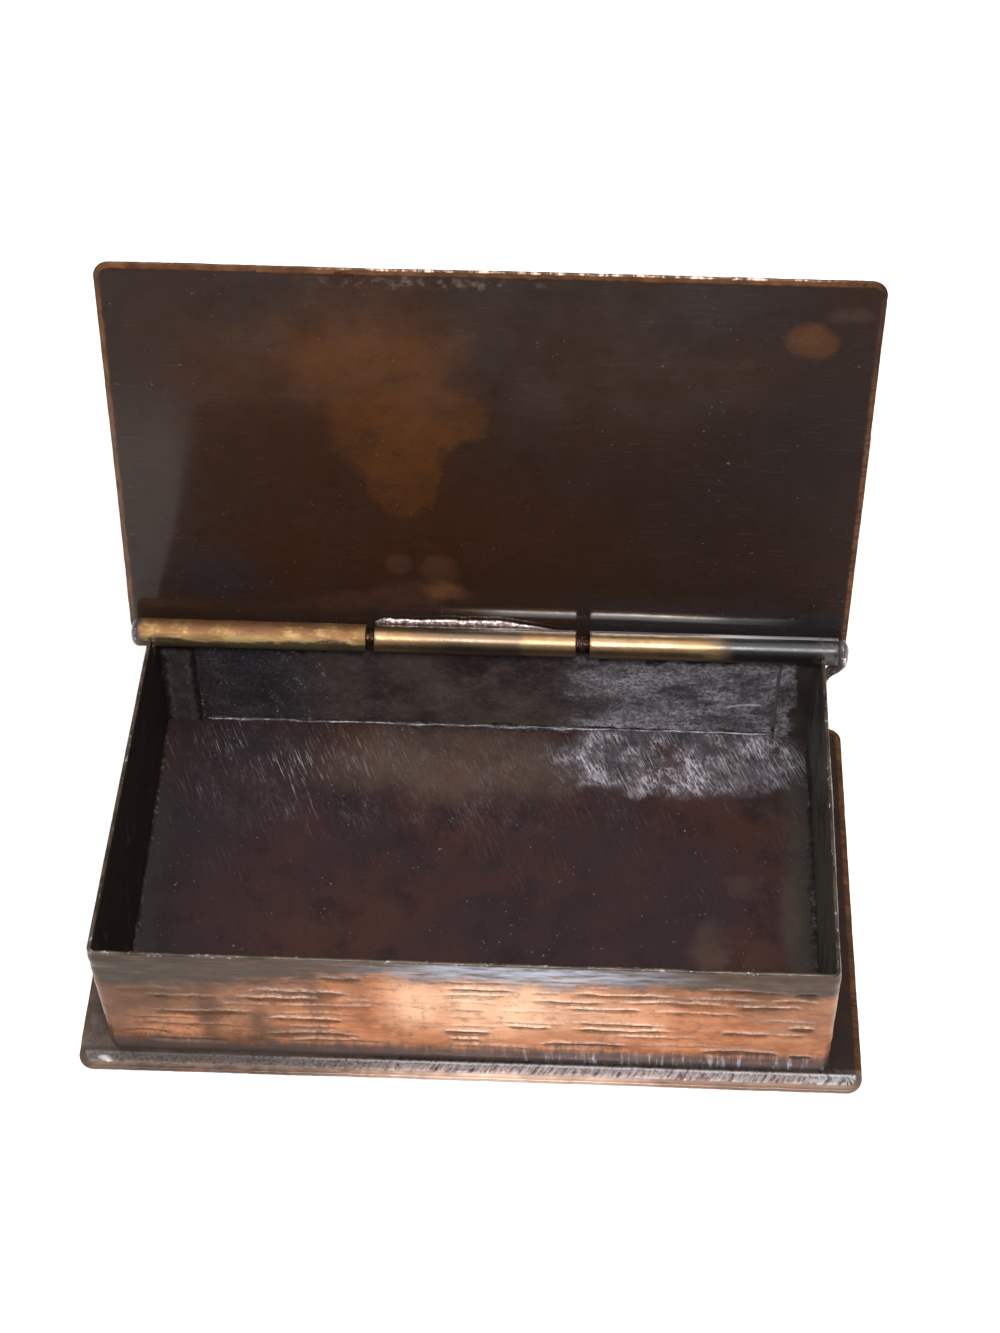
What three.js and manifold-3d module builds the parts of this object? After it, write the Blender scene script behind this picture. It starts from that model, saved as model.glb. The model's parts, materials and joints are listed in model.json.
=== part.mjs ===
// A hand-made copper trinket box in the form of a book, standing open on its hinge.
// Two flat covers overhang a tray whose walls are bent from one strip, and a wire pin runs
// through three brass tubes along the spine. Millimetres, +Z up, +Y towards the spine.
// The origin is the middle of the base plate's underside.

import * as THREE from "three";
import { mergeVertices } from "three/addons/utils/BufferGeometryUtils.js";
import Module from "manifold-3d";

const wasm = await Module();
wasm.setup();

// Covers: the base plate is the back cover, the lid is the front one
const BASE_LENGTH = 152;
const LID_INSET = 1.5;
const COVER_DEPTH = 92;
const BASE_THICKNESS = 1.6;
const LID_THICKNESS = 1.3;
const COVER_CORNER_RADIUS = 3.2;
const COVER_EDGE_BEVEL = 0.25;

// Tray walls
const END_MARGIN = 6.5;
const FORE_EDGE_MARGIN = 4.3;
const WALL_HEIGHT = 31.5;
const WALL_THICKNESS = 0.8;
const SPINE_THICKNESS = 0.8;
const BEND_INNER_RADIUS = 0.8;
const TAB_LENGTH = 8;

// Hinge
const TUBE_DIAMETER = 5.8;
const TUBE_WALL = 0.45;
const HINGE_INSET = 2;
const CENTRE_KNUCKLE_LENGTH = 41.8;
const CENTRE_KNUCKLE_SHIFT = -2.4;
const LEFT_KNUCKLE_GAP = 1.65;
const RIGHT_KNUCKLE_GAP = 2.7;
const END_CAP_RIM = 0.4;
const END_CAP_LENGTH = 1.3;
const LID_BEHIND_AXIS = 4.1;
const OPEN_DEGREES = 97;

// Solder
const FLOOR_SEAM = 1.2;
const TAB_SEAM = 0.7;
const SPINE_SEAM = 1.5;
const LID_SEAM = 3.6;
const SEAM_WRAP_DEGREES = 36;
const SEAM_HOLLOW = 0.3;

// Clearances
const PIN_CLEARANCE = 0.3;
const SEAT_GAP = 0.3;
const STOP_GAP = 0.3;
const NOTCH_CLEARANCE = 1.2;

// Facets
const ROUND_SEGMENTS = 40;
const ARC_SEGMENTS = 8;

const tubeRadius = TUBE_DIAMETER / 2;
const boreRadius = tubeRadius - TUBE_WALL;
const openAngle = THREE.MathUtils.degToRad(OPEN_DEGREES);
const wallTop = BASE_THICKNESS + WALL_HEIGHT;
const lidLength = BASE_LENGTH - 2 * LID_INSET;
const hingeLength = lidLength - 2 * HINGE_INSET;
const trayLength = BASE_LENGTH - 2 * END_MARGIN;

// The tubes are level with the top of the walls. Shut, the lid's back edge lines up with the base's.
const axisY = COVER_DEPTH / 2 - LID_BEHIND_AXIS;
const axisZ = wallTop - tubeRadius;

// The lid lies on the tubes. Open, its back edge bears on the spine wall, which is what stops it.
const lidSeat = tubeRadius + SEAT_GAP;
const stopReach = LID_BEHIND_AXIS * Math.cos(openAngle) + lidSeat * Math.sin(openAngle);
const spineOuterY = axisY + stopReach - STOP_GAP;
const spineInnerY = spineOuterY - SPINE_THICKNESS;

const trayHalf = trayLength / 2;
const foreEdgeY = FORE_EDGE_MARGIN - COVER_DEPTH / 2;
const notchZ = axisZ - tubeRadius - SEAT_GAP;

const trayCopper = new THREE.MeshStandardMaterial({ color: 0x5a3a2a, roughness: 0.5, metalness: 1 });
const pageCopper = new THREE.MeshStandardMaterial({ color: 0xb07a58, roughness: 0.35, metalness: 1 });
const lidCopper = new THREE.MeshStandardMaterial({ color: 0x46291a, roughness: 0.4, metalness: 1 });
const brass = new THREE.MeshStandardMaterial({ color: 0xb08d5a, roughness: 0.3, metalness: 1 });
const wire = new THREE.MeshStandardMaterial({ color: 0x6a4a30, roughness: 0.4, metalness: 1 });
const solder = new THREE.MeshStandardMaterial({ color: 0x8c8a88, roughness: 0.45, metalness: 1 });

const box = new THREE.Group();
const tray = new THREE.Group();
const lid = new THREE.Group();
lid.position.set(0, axisY, axisZ);
lid.rotation.x = -openAngle;
box.add(tray, lid);

function addPiece(group, name, geometry, material) {
  const mesh = new THREE.Mesh(geometry, material);
  mesh.name = name;
  group.add(mesh);
  return mesh;
}

// Turns a closed geometry into a solid that can be cut.
function solidOf(geometry) {
  const bare = geometry.clone();
  bare.deleteAttribute("normal");
  bare.deleteAttribute("uv");
  const merged = mergeVertices(bare, 1e-4);
  const mesh = new wasm.Mesh({
    numProp: 3,
    vertProperties: new Float32Array(merged.attributes.position.array),
    triVerts: new Uint32Array(merged.index.array),
  });
  return new wasm.Manifold(mesh);
}

function geometryOf(solid) {
  const mesh = solid.getMesh();
  const geometry = new THREE.BufferGeometry();
  geometry.setAttribute("position", new THREE.BufferAttribute(mesh.vertProperties, 3));
  geometry.setIndex(new THREE.BufferAttribute(mesh.triVerts, 1));
  geometry.computeVertexNormals();
  return geometry;
}

// A flat cover with rounded corners and softened edges, its underside at z = 0.
function coverPlate(length, depth, thickness) {
  const bevel = COVER_EDGE_BEVEL;
  const x = length / 2;
  const y = depth / 2;
  const r = COVER_CORNER_RADIUS;
  const outline = new THREE.Shape();
  outline.moveTo(r - x, -y);
  outline.absarc(x - r, r - y, r, -Math.PI / 2, 0);
  outline.absarc(x - r, y - r, r, 0, Math.PI / 2);
  outline.absarc(r - x, y - r, r, Math.PI / 2, Math.PI);
  outline.absarc(r - x, r - y, r, Math.PI, 1.5 * Math.PI);
  const geometry = new THREE.ExtrudeGeometry(outline, {
    depth: thickness - 2 * bevel,
    bevelThickness: bevel,
    bevelSize: bevel,
    bevelOffset: -bevel,
    bevelSegments: 1,
    curveSegments: ARC_SEGMENTS,
  });
  return geometry.translate(0, 0, bevel);
}

// A strip of one section in the YZ plane, drawn out along X and centred on x = 0.
function drawnStrip(section, length) {
  const alongX = new THREE.Matrix4().makeBasis(
    new THREE.Vector3(0, 1, 0),
    new THREE.Vector3(0, 0, 1),
    new THREE.Vector3(1, 0, 0),
  );
  const options = { depth: length, bevelEnabled: false, curveSegments: ARC_SEGMENTS };
  const geometry = new THREE.ExtrudeGeometry(section, options);
  return geometry.applyMatrix4(alongX).translate(-length / 2, 0, 0);
}

// A hollow-faced fillet section in a square corner, with its legs along +u and +v.
function filletSection(legU, legV) {
  const section = new THREE.Shape();
  section.moveTo(0, 0);
  section.lineTo(legU, 0);
  section.quadraticCurveTo(legU * SEAM_HOLLOW, legV * SEAM_HOLLOW, 0, legV);
  section.closePath();
  return section;
}

// A fillet between the clearance round a tube and a flat face. The arc starts where the clearance
// circle meets the face and wraps round the tube, and a hollow curve runs back to the face at foot.
function tubeFilletSection(start, wrap, foot) {
  const clearance = tubeRadius + SEAT_GAP;
  const startAngle = Math.atan2(start.y, start.x);
  const endAngle = startAngle + wrap;
  const end = new THREE.Vector2(Math.cos(endAngle), Math.sin(endAngle)).multiplyScalar(clearance);
  const hollow = new THREE.Vector2().addVectors(end, foot).multiplyScalar(0.5).lerp(start, SEAM_HOLLOW);
  const section = new THREE.Shape();
  section.moveTo(start.x, start.y);
  section.absarc(0, 0, clearance, startAngle, endAngle, wrap < 0);
  section.quadraticCurveTo(hollow.x, hollow.y, foot.x, foot.y);
  section.closePath();
  return section;
}

// A round tube along X, centred on its middle.
function tubePiece(length) {
  const half = length / 2;
  const profile = [
    new THREE.Vector2(boreRadius, -half),
    new THREE.Vector2(tubeRadius, -half),
    new THREE.Vector2(tubeRadius, half),
    new THREE.Vector2(boreRadius, half),
    new THREE.Vector2(boreRadius, -half),
  ];
  return new THREE.LatheGeometry(profile, ROUND_SEGMENTS).rotateZ(-Math.PI / 2);
}

// A domed plug on a tube's end, its flat side at x = 0 and its crown towards +X.
function endCapPiece() {
  const profile = [new THREE.Vector2(0, 0), new THREE.Vector2(tubeRadius, 0)];
  const crown = END_CAP_LENGTH - END_CAP_RIM;
  for (let i = 0; i < ARC_SEGMENTS; i += 1) {
    const turn = ((Math.PI / 2) * i) / ARC_SEGMENTS;
    profile.push(new THREE.Vector2(tubeRadius * Math.cos(turn), END_CAP_RIM + crown * Math.sin(turn)));
  }
  profile.push(new THREE.Vector2(0, END_CAP_LENGTH));
  return new THREE.LatheGeometry(profile, ROUND_SEGMENTS).rotateZ(-Math.PI / 2);
}

function addBase() {
  addPiece(tray, "base_plate", coverPlate(BASE_LENGTH, COVER_DEPTH, BASE_THICKNESS), trayCopper);
}

// One strip makes the fore edge and both ends, with its own two ends folded in along the spine wall.
// Its back corners are cut down to let the tubes lie across them.
function addPageWall() {
  const t = WALL_THICKNESS;
  const inner = BEND_INNER_RADIUS;
  const outer = inner + t;
  const bendX = trayHalf - outer;
  const frontBendY = foreEdgeY + outer;
  const backBendY = spineInnerY - outer;
  const tabX = trayHalf - TAB_LENGTH;
  const plan = new THREE.Shape();
  plan.moveTo(-tabX, spineInnerY);
  plan.absarc(-bendX, backBendY, outer, Math.PI / 2, Math.PI);
  plan.absarc(-bendX, frontBendY, outer, Math.PI, 1.5 * Math.PI);
  plan.absarc(bendX, frontBendY, outer, -Math.PI / 2, 0);
  plan.absarc(bendX, backBendY, outer, 0, Math.PI / 2);
  plan.lineTo(tabX, spineInnerY);
  plan.lineTo(tabX, spineInnerY - t);
  plan.absarc(bendX, backBendY, inner, Math.PI / 2, 0, true);
  plan.absarc(bendX, frontBendY, inner, 0, -Math.PI / 2, true);
  plan.absarc(-bendX, frontBendY, inner, 1.5 * Math.PI, Math.PI, true);
  plan.absarc(-bendX, backBendY, inner, Math.PI, Math.PI / 2, true);
  plan.lineTo(-tabX, spineInnerY - t);
  plan.closePath();
  const options = { depth: WALL_HEIGHT, bevelEnabled: false, curveSegments: ARC_SEGMENTS };
  const strip = new THREE.ExtrudeGeometry(plan, options).translate(0, 0, BASE_THICKNESS);

  const notchFrontY = axisY - tubeRadius - NOTCH_CLEARANCE;
  const notchDepth = COVER_DEPTH / 2 - notchFrontY;
  // The cutter stands as far above the wall's top as it reaches below it.
  const notchHeight = 2 * (wallTop - notchZ);
  const notch = new THREE.BoxGeometry(BASE_LENGTH, notchDepth, notchHeight);
  notch.translate(0, notchFrontY + notchDepth / 2, notchZ + notchHeight / 2);
  addPiece(tray, "page_wall", geometryOf(solidOf(strip).subtract(solidOf(notch))), pageCopper);
}

// The spine wall laps the folded ends from outside and stops just under the tubes.
function addSpineWall() {
  const nearestToAxis = Math.min(Math.max(spineInnerY - axisY, 0), tubeRadius);
  const tubeUnderside = Math.sqrt(tubeRadius ** 2 - nearestToAxis ** 2);
  const height = axisZ - tubeUnderside - SEAT_GAP - BASE_THICKNESS;
  const wall = new THREE.BoxGeometry(trayLength, SPINE_THICKNESS, height);
  const piece = addPiece(tray, "spine_wall", wall, trayCopper);
  piece.position.set(0, spineInnerY + SPINE_THICKNESS / 2, BASE_THICKNESS + height / 2);
}

function addLid() {
  const plate = addPiece(lid, "lid_plate", coverPlate(lidLength, COVER_DEPTH, LID_THICKNESS), lidCopper);
  plate.position.set(0, LID_BEHIND_AXIS - COVER_DEPTH / 2, lidSeat);
}

const centreLeftX = CENTRE_KNUCKLE_SHIFT - CENTRE_KNUCKLE_LENGTH / 2;
const centreRightX = CENTRE_KNUCKLE_SHIFT + CENTRE_KNUCKLE_LENGTH / 2;
const leftKnuckle = {
  name: "hinge_knuckle_left",
  from: -hingeLength / 2,
  to: centreLeftX - LEFT_KNUCKLE_GAP,
};
const rightKnuckle = {
  name: "hinge_knuckle_right",
  from: centreRightX + RIGHT_KNUCKLE_GAP,
  to: hingeLength / 2,
};

function addHinge() {
  for (const { name, from, to } of [leftKnuckle, rightKnuckle]) {
    const knuckle = addPiece(tray, name, tubePiece(to - from), brass);
    knuckle.position.set((from + to) / 2, axisY, axisZ);
  }
  const centre = addPiece(lid, "hinge_knuckle_centre", tubePiece(CENTRE_KNUCKLE_LENGTH), brass);
  centre.position.x = CENTRE_KNUCKLE_SHIFT;

  const pinRadius = boreRadius - PIN_CLEARANCE;
  const pinLength = hingeLength - 2 * SEAT_GAP;
  const rod = new THREE.CylinderGeometry(pinRadius, pinRadius, pinLength, ROUND_SEGMENTS);
  const pin = addPiece(tray, "hinge_pin", rod.rotateZ(-Math.PI / 2), wire);
  pin.position.set(0, axisY, axisZ);

  const leftCap = addPiece(tray, "hinge_cap_left", endCapPiece(), solder);
  leftCap.position.set(leftKnuckle.from, axisY, axisZ);
  leftCap.rotation.z = Math.PI;
  const rightCap = addPiece(tray, "hinge_cap_right", endCapPiece(), solder);
  rightCap.position.set(rightKnuckle.to, axisY, axisZ);
}

// Solder along the floor: the strip's legs lie on the floor and on the wall that it follows.
function addFloorSeams() {
  const section = filletSection(FLOOR_SEAM, FLOOR_SEAM);
  const cornerRoom = BEND_INNER_RADIUS + FLOOR_SEAM + SEAT_GAP;
  const frontY = foreEdgeY + WALL_THICKNESS;
  const endX = trayHalf - WALL_THICKNESS;
  const endFromY = frontY + cornerRoom;
  const endToY = spineInnerY - WALL_THICKNESS - cornerRoom;
  const endMidY = (endFromY + endToY) / 2;
  const endLength = endToY - endFromY;
  const spineLength = 2 * (trayHalf - TAB_LENGTH - TAB_SEAM - SEAT_GAP);
  const seams = [
    { name: "solder_floor_fore_edge", length: 2 * (endX - cornerRoom), x: 0, y: frontY, turn: 0 },
    { name: "solder_floor_spine", length: spineLength, x: 0, y: spineInnerY, turn: Math.PI },
    { name: "solder_floor_left", length: endLength, x: -endX, y: endMidY, turn: -Math.PI / 2 },
    { name: "solder_floor_right", length: endLength, x: endX, y: endMidY, turn: Math.PI / 2 },
  ];
  for (const { name, length, x, y, turn } of seams) {
    const seam = addPiece(tray, name, drawnStrip(section, length), solder);
    seam.position.set(x, y, BASE_THICKNESS);
    seam.rotation.z = turn;
  }
}

// Solder down the free edge of each folded end of the strip, where it lies on the spine wall.
function addTabSeams() {
  const height = notchZ - BASE_THICKNESS - SEAT_GAP;
  for (const [name, side] of [["solder_tab_left", -1], ["solder_tab_right", 1]]) {
    const tabEdgeX = side * (trayHalf - TAB_LENGTH);
    const section = new THREE.Shape();
    section.moveTo(tabEdgeX, spineInnerY);
    section.lineTo(tabEdgeX - side * TAB_SEAM, spineInnerY);
    section.lineTo(tabEdgeX, spineInnerY - WALL_THICKNESS);
    section.closePath();
    const strip = new THREE.ExtrudeGeometry(section, { depth: height, bevelEnabled: false });
    addPiece(tray, name, strip.translate(0, 0, BASE_THICKNESS), solder);
  }
}

// Solder under the two outer tubes, in the corner that each makes with the spine wall.
function addSpineSeams() {
  const clearance = tubeRadius + SEAT_GAP;
  const faceU = spineInnerY - axisY;
  const start = new THREE.Vector2(faceU, -Math.sqrt(clearance ** 2 - faceU ** 2));
  const foot = new THREE.Vector2(faceU, -clearance - SPINE_SEAM);
  const section = tubeFilletSection(start, -THREE.MathUtils.degToRad(SEAM_WRAP_DEGREES), foot);
  const tabRoom = trayHalf - TAB_LENGTH - TAB_SEAM - SEAT_GAP;
  const seams = [
    { name: "solder_spine_left", from: -tabRoom, to: leftKnuckle.to },
    { name: "solder_spine_right", from: rightKnuckle.from, to: tabRoom },
  ];
  for (const { name, from, to } of seams) {
    const seam = addPiece(tray, name, drawnStrip(section, to - from), solder);
    seam.position.set((from + to) / 2, axisY, axisZ);
  }
}

// Solder that holds the centre tube to the lid, on the side of the lid's free edge.
function addLidSeam() {
  const clearance = tubeRadius + SEAT_GAP;
  const faceV = lidSeat - SEAT_GAP;
  const start = new THREE.Vector2(-Math.sqrt(clearance ** 2 - faceV ** 2), faceV);
  const foot = new THREE.Vector2(start.x - LID_SEAM, faceV);
  const section = tubeFilletSection(start, THREE.MathUtils.degToRad(SEAM_WRAP_DEGREES), foot);
  const seam = addPiece(lid, "solder_lid", drawnStrip(section, CENTRE_KNUCKLE_LENGTH), solder);
  seam.position.x = CENTRE_KNUCKLE_SHIFT;
}

addBase();
addPageWall();
addSpineWall();
addLid();
addHinge();
addFloorSeams();
addTabSeams();
addSpineSeams();
addLidSeam();

export default box;
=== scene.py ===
"""Dresses a copper trinket box in the form of a book, lying open on its back cover.

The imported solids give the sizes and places. Each new piece is a surface worked out in millimetres
from two parameters, and each finish is worked out from the place of a point on its piece.
"""
import json
import math
from collections import namedtuple

import bpy
import numpy as np
from bpy.props import FloatProperty, FloatVectorProperty, IntProperty, PointerProperty
from mathutils import Euler, Matrix, Vector


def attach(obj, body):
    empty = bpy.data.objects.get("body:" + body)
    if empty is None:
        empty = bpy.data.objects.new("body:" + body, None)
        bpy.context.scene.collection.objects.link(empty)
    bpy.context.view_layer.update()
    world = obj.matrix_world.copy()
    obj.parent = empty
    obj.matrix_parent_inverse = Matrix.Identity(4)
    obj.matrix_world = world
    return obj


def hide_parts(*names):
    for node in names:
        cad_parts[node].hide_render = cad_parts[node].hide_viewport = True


bl_info = {
    "name": "Copper Book Box",
    "version": (1, 0, 0),
    "blender": (4, 5, 0),
    "location": "View3D > Sidebar > Copper Box",
    "description": "Builds the sheets, hinge, solder and stage of a copper book box over its solids",
    "category": "Add Mesh",
}

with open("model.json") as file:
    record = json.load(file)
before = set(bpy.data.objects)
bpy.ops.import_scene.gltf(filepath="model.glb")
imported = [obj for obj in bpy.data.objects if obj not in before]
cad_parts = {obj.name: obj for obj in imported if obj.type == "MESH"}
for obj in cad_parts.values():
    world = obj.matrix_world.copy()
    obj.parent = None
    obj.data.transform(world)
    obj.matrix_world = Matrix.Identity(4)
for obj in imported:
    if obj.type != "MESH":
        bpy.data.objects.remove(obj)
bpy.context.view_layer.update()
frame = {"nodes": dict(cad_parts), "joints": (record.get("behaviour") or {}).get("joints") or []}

# Lengths are in millimetres, but in metres for the camera's clips, the lights and the stage's middle
MM = 1000.0
HINGE = frame["joints"][0]
AXIS = np.array(HINGE["pos_m"]) * MM
OPEN_ANGLE = math.radians(-HINGE["range_deg"][0])
LATTICE = 256
SHARP_ANGLE = math.radians(50)
IMAGE_LONG_SIDE = 1333
SENSOR = 36.0
CLIP_START = 0.01
CLIP_END = 20.0
FULL_TURN = 2 * math.pi
UPRIGHT = (-math.pi / 2, 0, 0)
RIM_RINGS = 5
RIM_HEIGHT = 0.3
NOISE_LOW = 0.3
NOISE_HIGH = 0.7
SPECK_SIZE = 0.7
ENDLESS = 1e4
FLOOR_GAP = 0.1
STAGE_MIDDLE = (0.0, 0.0, 0.04)
SOFTBOX_PLACE = (0.0, -0.2, 1.3)
SOFTBOX_WIDTH = 1.5
KEY_PLACE = (0.06, -0.36, 0.56)
KEY_WIDTH = 0.12
SEEDS = {"base": 101, "lid": 131, "spine": 201, "tubes": 300, "left plug": 351, "right plug": 361,
         "lid strip": 491}


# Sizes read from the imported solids

def node_points(node):
    """Every corner of a solid at rest, in millimetres."""
    mesh = frame["nodes"][node].data
    points = np.empty(len(mesh.vertices) * 3, np.float32)
    mesh.vertices.foreach_get("co", points)
    return points.reshape(-1, 3).astype(float) * MM


def node_span(node):
    """Lowest and highest corner of a solid at rest, in millimetres."""
    points = node_points(node)
    return points.min(axis=0), points.max(axis=0)


def shut_span(node):
    """Lowest and highest corner of a solid of the lid, turned shut and measured from the hinge axis."""
    x, y, z = (node_points(node) - AXIS).T
    cosine, sine = math.cos(OPEN_ANGLE), math.sin(OPEN_ANGLE)
    turned = np.stack([x, y * cosine - z * sine, y * sine + z * cosine], axis=1)
    return turned.min(axis=0), turned.max(axis=0)


def open_lid(points):
    """Carries points of the shut lid, measured from the hinge axis, to where the open lid has them."""
    x, y, z = points[..., 0], points[..., 1], points[..., 2]
    cosine, sine = math.cos(OPEN_ANGLE), math.sin(OPEN_ANGLE)
    return AXIS + np.stack([x, y * cosine + z * sine, z * cosine - y * sine], axis=-1)


# Numbers that vary smoothly

def smooth_step(value, low=0.0, high=1.0):
    """Rises from 0 at low to 1 at high as three squares less two cubes."""
    share = np.clip((value - low) / (high - low), 0.0, 1.0)
    return share * share * (3.0 - 2.0 * share)


def ripple(x, y, pitch, seed):
    """A smooth random height from -1 to 1: random heights on a square lattice, joined by smooth steps."""
    heights = np.random.default_rng(seed).uniform(-1.0, 1.0, (LATTICE, LATTICE))
    x, y = np.broadcast_arrays(np.asarray(x, float) / pitch, np.asarray(y, float) / pitch)
    column, row = np.floor(x).astype(int), np.floor(y).astype(int)
    right, up = smooth_step(x - column), smooth_step(y - row)
    left_edge = column % LATTICE
    right_edge = (column + 1) % LATTICE
    low_edge = row % LATTICE
    high_edge = (row + 1) % LATTICE
    low = heights[left_edge, low_edge] * (1 - right) + heights[right_edge, low_edge] * right
    high = heights[left_edge, high_edge] * (1 - right) + heights[right_edge, high_edge] * right
    return low * (1 - up) + high * up


def evenly(start, end, pitch):
    """Places from start to end, both included, about a pitch apart."""
    return np.linspace(start, end, max(2, round(abs(end - start) / pitch) + 1))


def all_round(count):
    """Angles all the way round, evenly apart."""
    return np.linspace(0, FULL_TURN, count, endpoint=False)


# Meshes

def carried_faces(stations, around, joined):
    """Quads of a closed profile carried over its stations, and the two end faces unless the ends join."""
    index = np.arange(stations * around).reshape(stations, around)
    rows = np.vstack([index, index[:1]]) if joined else index
    rows = np.hstack([rows, rows[:, :1]])
    quads = np.stack([rows[:-1, :-1], rows[:-1, 1:], rows[1:, 1:], rows[1:, :-1]], axis=-1)
    ends = [] if joined else [index[0, ::-1], index[-1]]
    return quads.reshape(-1, 4), ends


def signed_volume(points, quads, ends):
    """The volume inside the faces, which is negative if they point inwards."""
    fans = [quads[:, [0, 1, 2]], quads[:, [0, 2, 3]]]
    fans += [np.stack([np.full(len(e) - 2, e[0]), e[1:-1], e[2:]], axis=1) for e in ends]
    a, b, c = (points[np.concatenate(fans)[:, corner]] for corner in range(3))
    return np.einsum("ij,ij->i", a, np.cross(b, c)).sum() / 6.0


def add_piece(name, points, finishes, finish_grid=None, end_finishes=(0, 0), joined=False, marks=None):
    """Makes a closed piece from a grid of points, stations by places around, given in millimetres.

    finish_grid says which finish each quad has, and marks holds values kept on the points by name.
    """
    stations, around = points.shape[:2]
    flat = points.reshape(-1, 3)
    quads, ends = carried_faces(stations, around, joined)
    if signed_volume(flat, quads, ends) < 0:
        quads = quads[:, ::-1]
        ends = [end[::-1] for end in ends]
    mesh = bpy.data.meshes.new(name)
    mesh.from_pydata(flat / MM, [], quads.tolist() + [end.tolist() for end in ends])
    for finish in finishes:
        mesh.materials.append(finish)
    if finish_grid is not None:
        chosen = np.concatenate([np.ravel(finish_grid), end_finishes[:len(ends)]]).astype(np.int32)
        mesh.polygons.foreach_set("material_index", chosen)
    for mark, values in (marks or {}).items():
        kind, field = ("FLOAT_VECTOR", "vector") if values.ndim == 3 else ("FLOAT", "value")
        attribute = mesh.attributes.new(mark, kind, "POINT")
        attribute.data.foreach_set(field, np.ravel(values).astype(np.float32))
    mesh.shade_smooth()
    mesh.set_sharp_from_angle(angle=SHARP_ANGLE)
    mesh.update()
    piece = bpy.data.objects.new(name, mesh)
    bpy.context.scene.collection.objects.link(piece)
    return piece


def settle(piece, body, slot, *nodes):
    """Puts a piece on its body and hides the solids it stands in for. The slot is not used."""
    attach(piece, body)
    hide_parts(*nodes)


# Covers

def rounded_outline(length, depth, radius, pitch, arc_steps):
    """A rectangle with round corners, walked from the middle of its far side by way of its left end.

    Gives its points, the outward direction at each, and the distance walked to each.
    """
    half = np.array([length, depth]) / 2 - radius
    start = np.array([0.0, depth / 2])
    points, outward = [], []
    for turn, corner in enumerate([(-1, 1), (-1, -1), (1, -1), (1, 1)]):
        angle = math.pi / 2 * (turn + 1 + np.linspace(0, 1, arc_steps + 1))
        direction = np.stack([np.cos(angle), np.sin(angle)], axis=1)
        arc = half * corner + radius * direction
        straight = evenly(0, 1, pitch / np.linalg.norm(arc[0] - start))[:-1, None]
        points += [start + (arc[0] - start) * straight, arc[:-1]]
        outward += [np.repeat(direction[:1], len(straight), axis=0), direction[:-1]]
        start = arc[-1]
    straight = evenly(0, 1, pitch / abs(start[0]))[:-1, None]
    points.append(start * (1 - straight) + np.array([0.0, depth / 2]) * straight)
    outward.append(np.repeat([[0.0, 1.0]], len(straight), axis=0))
    points, outward = np.concatenate(points), np.concatenate(outward)
    walked = np.cumsum(np.linalg.norm(np.diff(points, axis=0, prepend=points[:1]), axis=1))
    return points, outward, walked


def inside_distance(x, y, length, depth, radius):
    """How far a point lies inside the outline of a rectangle with round corners."""
    over_x = np.abs(x) - (length / 2 - radius)
    over_y = np.abs(y) - (depth / 2 - radius)
    outside = np.hypot(np.maximum(over_x, 0), np.maximum(over_y, 0))
    return radius - outside - np.minimum(np.maximum(over_x, over_y), 0)


def cover_rings(thickness, shape):
    """The rings that a cover's surface is carried over, from the middle of its seen face to the back's.

    Each ring has an inset from the outline, a height over the sheet's middle, and a share of the way
    from there to the middle line. The bevel drops by a smooth step, and the edge is a quarter round.
    """
    bevel, drop = shape.bevel_width * MM, shape.bevel_drop * MM
    rounding = shape.edge_round * MM
    reach = shape.corner_radius * MM * 0.75
    inner = np.array([0.985, 0.9, 0.8, 0.7, 0.6, 0.5, 0.4, 0.3, 0.2, 0.12, 0.06, 0.02])
    outer = reach * np.linspace(1, 0, 15)[:-1] ** 1.25 + rounding
    turn = np.linspace(0, math.pi / 2, 6)
    inset = np.concatenate([np.full(inner.shape, reach), outer, rounding * (1 - np.sin(turn))])
    fall = np.concatenate([np.zeros(inner.shape), drop * (1 - smooth_step(outer, rounding, bevel)),
                           drop + rounding * (1 - np.cos(turn))])
    inward = np.concatenate([inner, np.zeros(len(outer) + len(turn))])
    height = thickness / 2 - fall
    both = [np.concatenate([part, part[::-1]]) for part in (inset, inward)]
    return both[0], np.concatenate([height, -height[::-1]]), both[1]


def cover_surface(length, depth, thickness, shape, seed):
    """A sheet with round corners: rings parallel to its outline, dented along the edge and gently uneven.

    Gives the points about the sheet's own middle, how far each is from the edge, and how far round.
    """
    radius = shape.corner_radius * MM
    outline, outward, walked = rounded_outline(length, depth, radius, shape.edge_pitch * MM, 9)
    inset, height, inward = cover_rings(thickness, shape)
    flat = outline - outward * inset[:, None, None]
    middle = np.stack([np.clip(flat[..., 0], -(length - depth) / 2, (length - depth) / 2),
                       np.zeros(flat.shape[:2])], axis=-1)
    flat = flat + (middle - flat) * inward[:, None, None]
    x, y = flat[..., 0], flat[..., 1]
    edge = inside_distance(x, y, length, depth, radius)
    near = np.exp(-(edge / (shape.bevel_width * MM)) ** 2)
    dent = shape.dent_depth * MM
    wander = 1.2 * dent * ripple(x, y, 19, seed) + 0.5 * dent * ripple(x, y, 4.3, seed + 1)
    nick = dent * np.minimum(ripple(x, y, shape.dent_pitch * MM, seed + 2), 0.2)
    flat = flat + outward * (near * (wander + 0.6 * nick))[..., None]
    face = np.sign(height)[:, None]
    sink = near * dent * (1.1 * ripple(x, y, shape.dent_pitch * MM, seed + 3) + ripple(x, y, 3.4, seed + 4))
    uneven = (1 - inward[:, None] ** 6) * shape.waviness * MM * ripple(x, y, 27, seed + 5)
    lift = height[:, None] + uneven - face * np.abs(sink)
    walked = np.broadcast_to(walked, edge.shape)
    return np.concatenate([flat, lift[..., None]], axis=-1), edge, walked


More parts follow.
